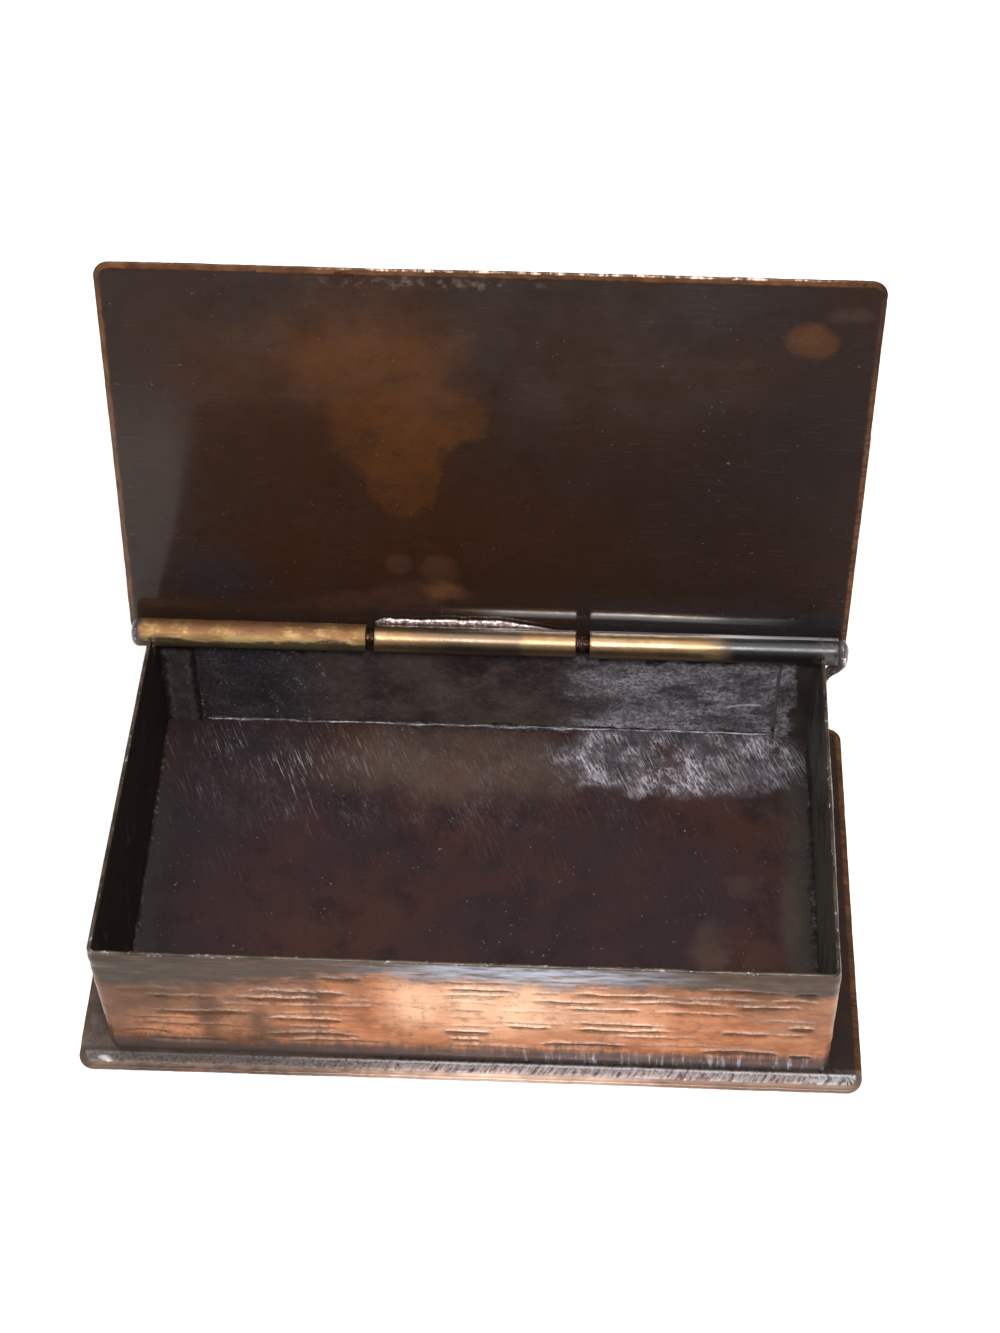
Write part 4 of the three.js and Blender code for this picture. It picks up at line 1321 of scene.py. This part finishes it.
def finish_solder(pen):
    """The solder in the corners: dark with old flux, with a thin painted highlight line along the spine's
    run.
    """
    place = pen.place_mm()
    across = pen.add(pen.mark("across"), pen.waver(pen.noise(place, 6, 3), 0.8))
    pen.colour = pen.clouds(place, 0.2, "floor_umber", "black_patina", "solder_dark")
    # Painted highlight: a thin bright line along the seams that gleam
    line = pen.rise(pen.unsigned(pen.less(across, 0.42)), 0.14, 0.02)
    line = pen.both(line, pen.rise(pen.noise(place, 4, 6, 0.75), 0.42, 0.66, 0.04, 0.65))
    crust = pen.haze(place, (3.0, 1.5, 1.5), 0.45)
    x, _, up = pen.parts(place)
    frosted = pen.both(pen.rise(x, 50, 58), pen.rise(up, 3, 5, 0.0, 0.7))
    pen.lay("frost_shade", frosted)
    crusted = pen.rise(pen.mark("across"), 1.2, 1.6, 0.5, 0.08)
    bright = pen.either(line, pen.both(crust, crusted))
    pen.lay("frost", bright)
    rough = pen.spread(pen.noise(place, 2, 4), 0.3, 0.5)
    metal = pen.both(line, 0.5)
    pen.shade(rough, metal, pen.noise(place, 1.0, 4), 0.06, Specular_IOR_Level=0.25)


def finish_bright_solder(pen):
    """The solder plugs on the tubes' ends."""
    place = pen.place_mm()
    x, _, _ = pen.parts(place)
    pen.colour = pen.clouds(place, 0.35, "solder_grey", "solder_rose", "solder_dark")
    ends = pen.rise(pen.unsigned(x), 60, 64)
    # Painted highlights: white glints on the plugs' grey solder
    glints = pen.rise(pen.noise(place, 1.6, 4, 0.6), 0.56, 0.66)
    grey_with_glints = pen.mix(glints, "filed_grey", "bright_solder_and_highlight")
    pen.lay(grey_with_glints, ends, 0.9)
    rough = pen.spread(pen.noise(place, 2, 4), 0.24, 0.42)
    metal = pen.spread(pen.noise(place, 3, 4), 0.25, 0.55)
    pen.shade(rough, metal, pen.noise(place, 1.0, 4), 0.08, Specular_IOR_Level=0.5)


def finish_lid_solder(pen):
    """The solder above the middle tube: sparkling silver, tinged with copper, dull at its thin right end."""
    place = pen.place_mm(origin=AXIS)
    x, _, _ = pen.parts(place)
    uneven = pen.noise(place, 0.8, 5, 0.75)
    pen.colour = pen.mix(pen.rise(uneven, 0.3, 0.5), "solder_dark", "solder_rose")
    pen.lay("bright_solder_and_highlight", pen.rise(uneven, 0.48, 0.6))
    dull = pen.rise(pen.add(x, pen.times(uneven, 6.0)), 8, 17)
    pen.lay("hinge_brown", dull, 0.8)
    rough = pen.spread(uneven, 0.42, 0.26)
    metal = pen.reckon("SUBTRACT", 0.85, pen.both(dull, 0.5))
    pen.shade(rough, metal, pen.noise(place, 0.6, 3), 0.14, Specular_IOR_Level=0.5)


GROUPS = (group_stain_spot, group_patina_clouds, group_fine_scratches, group_frost_haze, group_dust_specks,
          group_edge_wear)
FINISHES = {
    "lid_inside_patina": finish_lid_inside,
    "cover_outside_patina": finish_cover_outside,
    "base_upper_patina": finish_base,
    "page_edge_copper": finish_page,
    "wall_inside_patina": finish_wall_inside,
    "spine_patina": finish_spine,
    "tube_brass": finish_tube,
    "pin_wire_metal": finish_wire,
    "solder_dark": finish_solder,
    "bright_solder_and_highlight": finish_bright_solder,
    "solder_lid_strip": finish_lid_solder,
}
made_finishes = {}


def finish(name):
    """The finish of that name, made when it is first asked for, with the shared effects before it."""
    if not made_finishes:
        for make_group in GROUPS:
            make_group()
    if name not in made_finishes:
        made_finishes[name], pen = new_finish(name)
        FINISHES[name](pen)
    return made_finishes[name]


# Settings

def amount(name, description, default, **limits):
    """A number that a user can change."""
    return FloatProperty(name=name, description=description, default=default, **limits)


def tilt(name, description, radians):
    """An angle that a user can change."""
    return amount(name, description, radians, unit="ROTATION", subtype="ANGLE")


def size(name, description, millimetres):
    """A length that a user can change, with its default in millimetres."""
    return amount(name, description, millimetres / MM, min=0.0, unit="LENGTH", precision=5)


def paint(name, description, code):
    """A colour that a user can change, with its default as a screen colour code."""
    screen = [int(code[place:place + 2], 16) / 255 for place in (0, 2, 4)]
    linear = [part / 12.92 if part <= 0.04045 else ((part + 0.055) / 1.055) ** 2.4 for part in screen]
    return FloatVectorProperty(name=name, description=description, default=linear, size=3, min=0.0, max=1.0,
                               subtype="COLOR")


class CopperBoxColours(bpy.types.PropertyGroup):
    """The colours of the finishes."""
    brown_patina: paint("Brown patina", "Most of the covers", "28190f")
    dusk_patina: paint("Dusk patina", "Greyer brown among it", "271d1b")
    deep_brown: paint("Deep brown", "The darkest brown", "221510")
    # Grey patina, and partly a painted reflection over the lid's upper corners
    grey_patina_and_reflection: paint("Grey patina", "The lid's upper corners", "2d2424")
    black_patina: paint("Black patina", "Nearly black oxide", "211a18")
    blue_black: paint("Blue black", "Cold black", "252225")
    umber: paint("Umber", "Warm brown round the amber", "331d10")
    amber: paint("Amber", "Thin, warm patina", "4a2a11")
    pale_amber: paint("Pale amber", "Thinnest patina", "4f2f16")
    oval_stain: paint("Oval stain", "The spot at the lid's corner", "482d1c")
    pink_stain: paint("Pink stain", "The round spots by the hinge", "4a2f25")
    hinge_brown: paint("Hinge brown", "The band above the left tube", "2f2018")
    scratch_pale: paint("Pale scratch", "Fine scratches", "77665c")
    worn_copper: paint("Worn copper", "Copper along worn edges", "6b462c")
    edge_brown: paint("Edge brown", "Brown between the worn places", "452d1f")
    soft_copper: paint("Soft copper", "The base's front edge", "8a776c")
    # Painted highlight on copper: glints on edges, above the chased lines and on the base's front edge
    glint_copper: paint("Bare copper", "Copper rubbed bright", "f6d8c4")
    floor_maroon: paint("Floor maroon", "The tray's floor", "39241f")
    floor_umber: paint("Floor umber", "Darker floor", "2c2022")
    floor_dark: paint("Floor dark", "The darkest floor", "251a1a")
    floor_tan: paint("Floor tan", "The worn band at the back of the floor", "53433a")
    spine_brown: paint("Spine brown", "The middle of the spine", "483c36")
    green_grey: paint("Green grey", "Oxide along the tray's ends", "363530")
    bloom: paint("Bloom", "Pale bloom on the walls", "5b5a52")
    frost: paint("Frost", "Flux crystals and dust", "c9c2cb")
    frost_shade: paint("Frost shade", "Metal under the crystals", "5a565a")
    filed_grey: paint("Filed grey", "The base's front margin", "4e4845")
    filed_silver: paint("Filed silver", "File marks on it", "c0bfc2")
    copper: paint("Copper", "The page edges", "b57a58")
    deep_copper: paint("Deep copper", "Redder copper among it", "965f40")
    # Painted highlight on the page edges' front
    lit_copper: paint("Pale copper", "Rubbed copper", "e2b899")
    dull_copper: paint("Dull copper", "The page edges' left end", "644638")
    olive_copper: paint("Olive copper", "Greener copper by the ends", "635040")
    smudge: paint("Smudge", "Dark smudges down the page edges", "583d2e")
    groove: paint("Groove", "The chased lines", "5b3927")
    page_grey: paint("Page grey", "The page edges' top", "342a22")
    page_foot: paint("Page foot", "The page edges' foot", "4a3f3d")
    page_silver: paint("Page silver", "Sheen along the top", "9ea6b5")
    rim_brown: paint("Rim brown", "The walls' upper rim", "51453a")
    brass: paint("Brass", "The hinge tubes", "ac8a54")
    tan_brass: paint("Tan brass", "Duller brass", "92724a")
    pale_brass: paint("Pale brass", "Brighter brass", "cdb078")
    heat_brown: paint("Heat brown", "Brass browned along the top", "74492f")
    heat_grey: paint("Heat grey", "Brass greyed by heat", "5f5147")
    polished_brass: paint("Polished brass", "The middle and right tubes", "9a8264")
    # Black of heat-blackened brass, also used as painted shade on the tubes' backs
    soot_and_shade: paint("Soot", "Brass blackened by heat", "141112")
    solder_grey: paint("Solder grey", "Solder", "b3acab")
    solder_rose: paint("Solder rose", "Solder tinged with copper", "9a827d")
    # Bright solder, and also painted highlights on the tubes, the base's margin and the plugs
    bright_solder_and_highlight: paint("Bright solder", "The silvery lip above the middle tube", "e4dedd")
    solder_dark: paint("Dark solder", "Solder under old flux", "4d4947")


class CopperBoxCovers(bpy.types.PropertyGroup):
    """The shape of the two covers."""
    corner_radius: size("Corner radius", "Radius of the covers' corners", 3.2)
    bevel_width: size("Bevel width", "How far in the hammered edge reaches", 1.6)
    bevel_drop: size("Bevel drop", "How far the hammered edge falls", 0.28)
    edge_round: size("Edge round", "Radius of the sheet's edge", 0.3)
    edge_pitch: size("Edge pitch", "Spacing of points along the edge", 0.45)
    dent_depth: size("Dent depth", "Depth of the hammer marks along the edge", 0.07)
    dent_pitch: size("Dent pitch", "Spacing of the hammer marks", 1.35)
    waviness: size("Waviness", "Unevenness of the sheet", 0.16)


class CopperBoxPages(bpy.types.PropertyGroup):
    """The shape of the strip that is the page edges."""
    sheet: size("Sheet", "Thickness of the strip", 0.8)
    bend_radius: size("Bend radius", "Outside radius of its bends", 1.6)
    tab_length: size("Tab length", "Length of the folded ends", 8.0)
    notch_drop: size("Notch drop", "How far the strip is cut down under the hinge", 6.1)
    notch_reach: size("Notch reach", "How far before the hinge axis that cut starts", 4.1)
    lean: size("Lean", "How far the top leans left at the front left corner", 2.0)
    pitch: size("Pitch", "Spacing of points along the strip", 0.6)
    rows: IntProperty(name="Rows", description="Points up the outside", default=120, min=8)
    line_pitch: size("Line pitch", "Height from one row of chased lines to the next", 2.3)
    line_width: size("Line width", "Half width of a chased line", 0.38)
    line_depth: size("Line depth", "Depth of the boldest lines", 0.58)


class CopperBoxHinge(bpy.types.PropertyGroup):
    """The shape of the hinge."""
    tube_wall: size("Tube wall", "Wall of the tubes", 0.45)
    sides: IntProperty(name="Sides", description="Points round a tube", default=56, min=12)
    dent_depth: size("Dent depth", "Unevenness of the tubes", 0.025)
    ridge_pitch: size("Ridge pitch", "Spacing of the ridges on the wire", 0.8)
    strip_start: size("Strip start", "How far from the axis the lid's solder starts", 0.7)
    strip_reach: size("Strip reach", "How far from the axis the lid's solder reaches", 3.3)
    plug_run: size("Plug run", "How far the right plug runs down from the axis", 10.5)
    lumps: amount("Lumps", "Unevenness of the solder, as a share", 0.75, min=0.0, max=1.0, subtype="FACTOR")


class CopperBoxStage(bpy.types.PropertyGroup):
    """The camera, floor and lights."""
    camera_place: FloatVectorProperty(
        name="Camera place", description="Where the camera stands", size=3, unit="LENGTH",
        subtype="TRANSLATION", default=(0.01541, -0.33154, 0.4429))
    camera_pitch: tilt("Camera pitch", "How far down the camera looks", 0.8441)
    camera_yaw: tilt("Camera yaw", "How far right it turns", -0.03388)
    camera_roll: tilt("Camera roll", "How far it leans", 0.00376)
    camera_reach: amount("Camera reach", "Focal length in pixels of the long side", 2690.4)
    floor_colour: FloatVectorProperty(
        name="Floor colour", description="The pale floor", size=3, subtype="COLOR", default=(0.88, 0.88,
                                                                                             0.87),
        min=0.0, max=1.0)
    floor_glow: amount("Floor glow", "Light from the floor that thins its shadows", 0.35, min=0.0)
    floor_reach: amount("Floor reach", "Half the floor's width", 4.0, unit="LENGTH")
    softbox_power: amount("Softbox power", "Watts of the wide light above", 16.0)
    key_power: amount("Key power", "Watts of the light by the camera", 3.0)
    sky_strength: amount("Sky strength", "Light from all round", 0.32, min=0.0)


class CopperBoxSettings(bpy.types.PropertyGroup):
    """All settings of the box."""
    colours: PointerProperty(type=CopperBoxColours)
    covers: PointerProperty(type=CopperBoxCovers)
    pages: PointerProperty(type=CopperBoxPages)
    hinge: PointerProperty(type=CopperBoxHinge)
    stage: PointerProperty(type=CopperBoxStage)


# Operators

class COPPERBOX_OT_covers(bpy.types.Operator):
    """Make the base and the lid as dented sheets with round corners"""
    bl_idname = "copper_box.covers"
    bl_label = "Covers"

    def execute(self, context):
        shape = context.scene.copper_box.covers
        low, high = node_span("base_plate")
        points, edge, walked = cover_surface(*(high - low), shape, SEEDS["base"])
        points = points + (low + high) / 2
        inside, outside = finish("base_upper_patina"), finish("cover_outside_patina")
        base = add_cover("base_sheet", [inside, outside], points, edge, walked)
        settle(base, "tray", "tray_copper", "base_plate")
        low, high = shut_span("lid_plate")
        points, edge, walked = cover_surface(*(high - low), shape, SEEDS["lid"])
        points = points * (1, 1, -1) + (low + high) / 2
        points = open_lid(points)
        lid = add_cover("lid_sheet", [finish("lid_inside_patina"), outside], points, edge, walked)
        settle(lid, "lid", "lid_copper", "lid_plate")
        return {"FINISHED"}


class COPPERBOX_OT_page_strip(bpy.types.Operator):
    """Make the bent strip whose outside is chased like page edges"""
    bl_idname = "copper_box.page_strip"
    bl_label = "Page strip"

    def execute(self, context):
        pages = context.scene.copper_box.pages
        points, place, groove, lip_highlight = page_surface(pages)
        stations, around = groove.shape
        inside = (np.arange(around) >= pages.rows + RIM_RINGS - 1).astype(int)
        grid = np.repeat(inside[None], stations - 1, axis=0)
        marks = {"on_strip": place, "chased": groove, "lip_highlight": lip_highlight}
        finishes = [finish("page_edge_copper"), finish("wall_inside_patina")]
        strip = add_piece("page_strip", points, finishes, grid, marks=marks)
        settle(strip, "tray", "page_copper", "page_wall")
        return {"FINISHED"}


class COPPERBOX_OT_spine_sheet(bpy.types.Operator):
    """Make the spine wall under the hinge"""
    bl_idname = "copper_box.spine_sheet"
    bl_label = "Spine sheet"

    def execute(self, context):
        surface = plate_surface(*node_span("spine_wall"), 0.7, SEEDS["spine"])
        spine = add_piece("spine_sheet", surface, [finish("spine_patina")])
        settle(spine, "tray", "tray_copper", "spine_wall")
        return {"FINISHED"}


class COPPERBOX_OT_hinge_tubes(bpy.types.Operator):
    """Make the three tubes of the hinge"""
    bl_idname = "copper_box.hinge_tubes"
    bl_label = "Hinge tubes"

    def execute(self, context):
        hinge = context.scene.copper_box.hinge
        for seed, (side, body) in enumerate([("left", "tray"), ("centre", "lid"), ("right", "tray")]):
            node = "hinge_knuckle_" + side
            points = node_points(node)
            radius = np.hypot(points[:, 1] - AXIS[1], points[:, 2] - AXIS[2]).max()
            surface = tube_surface(points[:, 0].min(), points[:, 0].max(), radius, hinge,
                                   SEEDS["tubes"] + 10 * seed)
            tube = add_piece("tube_" + side, surface, [finish("tube_brass")], joined=True)
            settle(tube, body, "brass_tube", node)
        return {"FINISHED"}


class COPPERBOX_OT_hinge_wire(bpy.types.Operator):
    """Make the wire that the tubes turn on, and the solder plugs at its ends"""
    bl_idname = "copper_box.hinge_wire"
    bl_label = "Hinge wire and plugs"

    def execute(self, context):
        hinge = context.scene.copper_box.hinge
        wire = add_piece("hinge_wire", wire_surface(hinge), [finish("pin_wire_metal")])
        settle(wire, "tray", "pin_wire", "hinge_pin")
        left = add_piece("end_plug_left", left_plug_surface(SEEDS["left plug"]), [finish("bright_solder_and_highlight")])
        settle(left, "tray", "solder", "hinge_cap_left")
        right = add_piece("end_plug_right", right_plug_surface(hinge, SEEDS["right plug"]),
                          [finish("bright_solder_and_highlight")])
        settle(right, "tray", "solder", "hinge_cap_right")
        return {"FINISHED"}


def solder_seams():
    """Every run of solder: the corner it starts and ends on, and its two legs there."""
    back, left, up = np.array([0, 1, 0]), np.array([-1, 0, 0]), np.array([0, 0, 1])
    seams = []
    for side, wall in (("fore_edge", -back), ("spine", back), ("left", left), ("right", -left)):
        low, high = node_span("solder_floor_" + side)
        leg = np.abs((high - low) @ wall)
        corner = (low + high) / 2 + wall * leg / 2
        run = (high - low) / 2 * (1 - np.abs(wall))
        run[2] = 0
        corner[2] = low[2]
        seams.append(Seam("seam_floor_" + side, "solder_floor_" + side, corner - run, corner + run,
                          -wall * leg * 0.85, up * (high[2] - low[2]) * 0.8, side == "spine", 400))
    for side, wall in (("left", left), ("right", -left)):
        low, high = node_span("solder_tab_" + side)
        x = low[0] if side == "left" else high[0]
        corner = np.array([x, high[1], low[2]])
        seams.append(Seam("seam_tab_" + side, "solder_tab_" + side, corner,
                          corner + up * (high[2] - low[2]),
                          -wall * (high[0] - low[0]), -back * (high[1] - low[1]), False, 440))
        low, high = node_span("solder_spine_" + side)
        corner = np.array([low[0], high[1], (low[2] + high[2]) / 2])
        end = corner + (high[0] - low[0], 0, 0)
        seams.append(Seam("seam_tube_" + side, "solder_spine_" + side, corner, end,
                          up * (high[2] - low[2]) * 0.6, -back * (high[1] - low[1]), False, 460))
    return seams


class COPPERBOX_OT_solder(bpy.types.Operator):
    """Make the runs of solder in the corners, under the tubes and on the lid"""
    bl_idname = "copper_box.solder"
    bl_label = "Solder"

    def execute(self, context):
        hinge = context.scene.copper_box.hinge
        for number, seam in enumerate(solder_seams()):
            surface, across = seam_surface(seam.start, seam.end, seam.first, seam.second, hinge.lumps,
                                           seam.seed + 5 * number)
            across = across if seam.gleam else across + 2
            run = add_piece(seam.name, surface, [finish("solder_dark")], marks={"across": across})
            settle(run, "tray", "solder", seam.node)
        strip = lid_strip_surface(hinge, SEEDS["lid strip"])
        settle(add_piece("seam_lid", strip, [finish("solder_lid_strip")]), "lid", "solder", "solder_lid")
        return {"FINISHED"}


def add_light(name, place, width, power):
    """A square soft light at a place, turned to the middle of the stage."""
    light = bpy.data.lights.new(name, "AREA")
    light.size = width
    light.energy = power
    lamp = bpy.data.objects.new(name, light)
    lamp.location = place
    lamp.rotation_euler = (Vector(STAGE_MIDDLE) - Vector(place)).to_track_quat("-Z", "Y").to_euler()
    bpy.context.scene.collection.objects.link(lamp)


def add_floor(stage):
    """A wide pale floor just under the base, with a little light of its own to thin the shadows."""
    reach = stage.floor_reach
    mesh = bpy.data.meshes.new("studio_floor")
    corners = np.array([(-1, -1), (1, -1), (1, 1), (-1, 1)]) * reach
    mesh.from_pydata(np.column_stack([corners, np.full(4, -FLOOR_GAP / MM)]), [], [(0, 1, 2, 3)])
    material, pen = new_finish("studio_floor_paint")
    grain = pen.noise(pen.place_mm(), 40, 3)
    rough = pen.spread(grain, 0.85, 0.95)
    pen.show(pen.place("ShaderNodeBsdfPrincipled", {
        "Base Color": stage.floor_colour, "Roughness": rough, "Specular IOR Level": 0.1,
        "Emission Color": stage.floor_colour, "Emission Strength": stage.floor_glow}))
    mesh.materials.append(material)
    floor = bpy.data.objects.new("studio_floor", mesh)
    bpy.context.scene.collection.objects.link(floor)


def add_sky(stage):
    """Even light from all round, seen as white by the camera."""
    world = bpy.data.worlds.new("studio_sky")
    world.use_nodes = True
    world.node_tree.nodes.clear()
    pen = NodePen(world.node_tree)
    seen = pen.place("ShaderNodeLightPath", output="Is Camera Ray")
    strength = pen.place("ShaderNodeMapRange", {0: seen, 3: stage.sky_strength, 4: 1.0})
    sky = pen.place("ShaderNodeBackground", {"Color": (1.0, 1.0, 1.0), "Strength": strength})
    pen.show(sky, "ShaderNodeOutputWorld")
    bpy.context.scene.world = world


def add_camera(stage):
    """The picture's camera: pitched down, turned about Z, then rolled about its line of sight."""
    data = bpy.data.cameras.new("picture_camera")
    data.sensor_width = SENSOR
    data.lens = stage.camera_reach * SENSOR / IMAGE_LONG_SIDE
    data.clip_start = CLIP_START
    data.clip_end = CLIP_END
    camera = bpy.data.objects.new("picture_camera", data)
    yaw, pitch, roll = stage.camera_yaw, stage.camera_pitch, stage.camera_roll
    ahead = Vector((math.sin(yaw) * math.cos(pitch), math.cos(yaw) * math.cos(pitch), -math.sin(pitch)))
    right = Vector((math.cos(yaw), -math.sin(yaw), 0.0))
    above = right.cross(ahead)
    leaned_right = right * math.cos(roll) + above * math.sin(roll)
    leaned_above = above * math.cos(roll) - right * math.sin(roll)
    turn = Matrix((leaned_right, leaned_above, -ahead)).transposed()
    camera.matrix_world = Matrix.Translation(stage.camera_place) @ turn.to_4x4()
    bpy.context.scene.collection.objects.link(camera)
    bpy.context.scene.camera = camera


class COPPERBOX_OT_stage(bpy.types.Operator):
    """Set up the camera, the pale floor and the studio lights"""
    bl_idname = "copper_box.stage"
    bl_label = "Stage"

    def execute(self, context):
        stage = context.scene.copper_box.stage
        context.scene.view_settings.view_transform = "Standard"
        add_camera(stage)
        add_floor(stage)
        add_sky(stage)
        add_light("softbox_above", SOFTBOX_PLACE, SOFTBOX_WIDTH, stage.softbox_power)
        add_light("key_by_camera", KEY_PLACE, KEY_WIDTH, stage.key_power)
        return {"FINISHED"}


OPERATORS = (COPPERBOX_OT_stage, COPPERBOX_OT_covers, COPPERBOX_OT_page_strip, COPPERBOX_OT_spine_sheet,
             COPPERBOX_OT_hinge_tubes, COPPERBOX_OT_hinge_wire, COPPERBOX_OT_solder)


class COPPERBOX_PT_sidebar(bpy.types.Panel):
    """Lists the box's pieces in the order they are made"""
    bl_label = "Copper Box"
    bl_space_type = "VIEW_3D"
    bl_region_type = "UI"
    bl_category = "Copper Box"

    def draw(self, context):
        for operator in OPERATORS:
            self.layout.operator(operator.bl_idname, text=operator.bl_label)


CLASSES = (CopperBoxColours, CopperBoxCovers, CopperBoxPages, CopperBoxHinge, CopperBoxStage,
           CopperBoxSettings, *OPERATORS, COPPERBOX_PT_sidebar)


def register():
    """Makes the settings, operators and panel known."""
    for item in CLASSES:
        bpy.utils.register_class(item)
    bpy.types.Scene.copper_box = PointerProperty(type=CopperBoxSettings)


def unregister():
    """Takes them away again."""
    del bpy.types.Scene.copper_box
    for item in reversed(CLASSES):
        bpy.utils.unregister_class(item)


def main():
    """Builds the stage and every piece, and keeps the solids' box and the dressed box."""
    register()
    bpy.ops.copper_box.stage()
    bpy.ops.copper_box.covers()
    bpy.ops.copper_box.page_strip()
    bpy.ops.copper_box.spine_sheet()
    bpy.ops.copper_box.hinge_tubes()
    bpy.ops.copper_box.hinge_wire()
    bpy.ops.copper_box.solder()


if __name__ == "__main__":
    main()
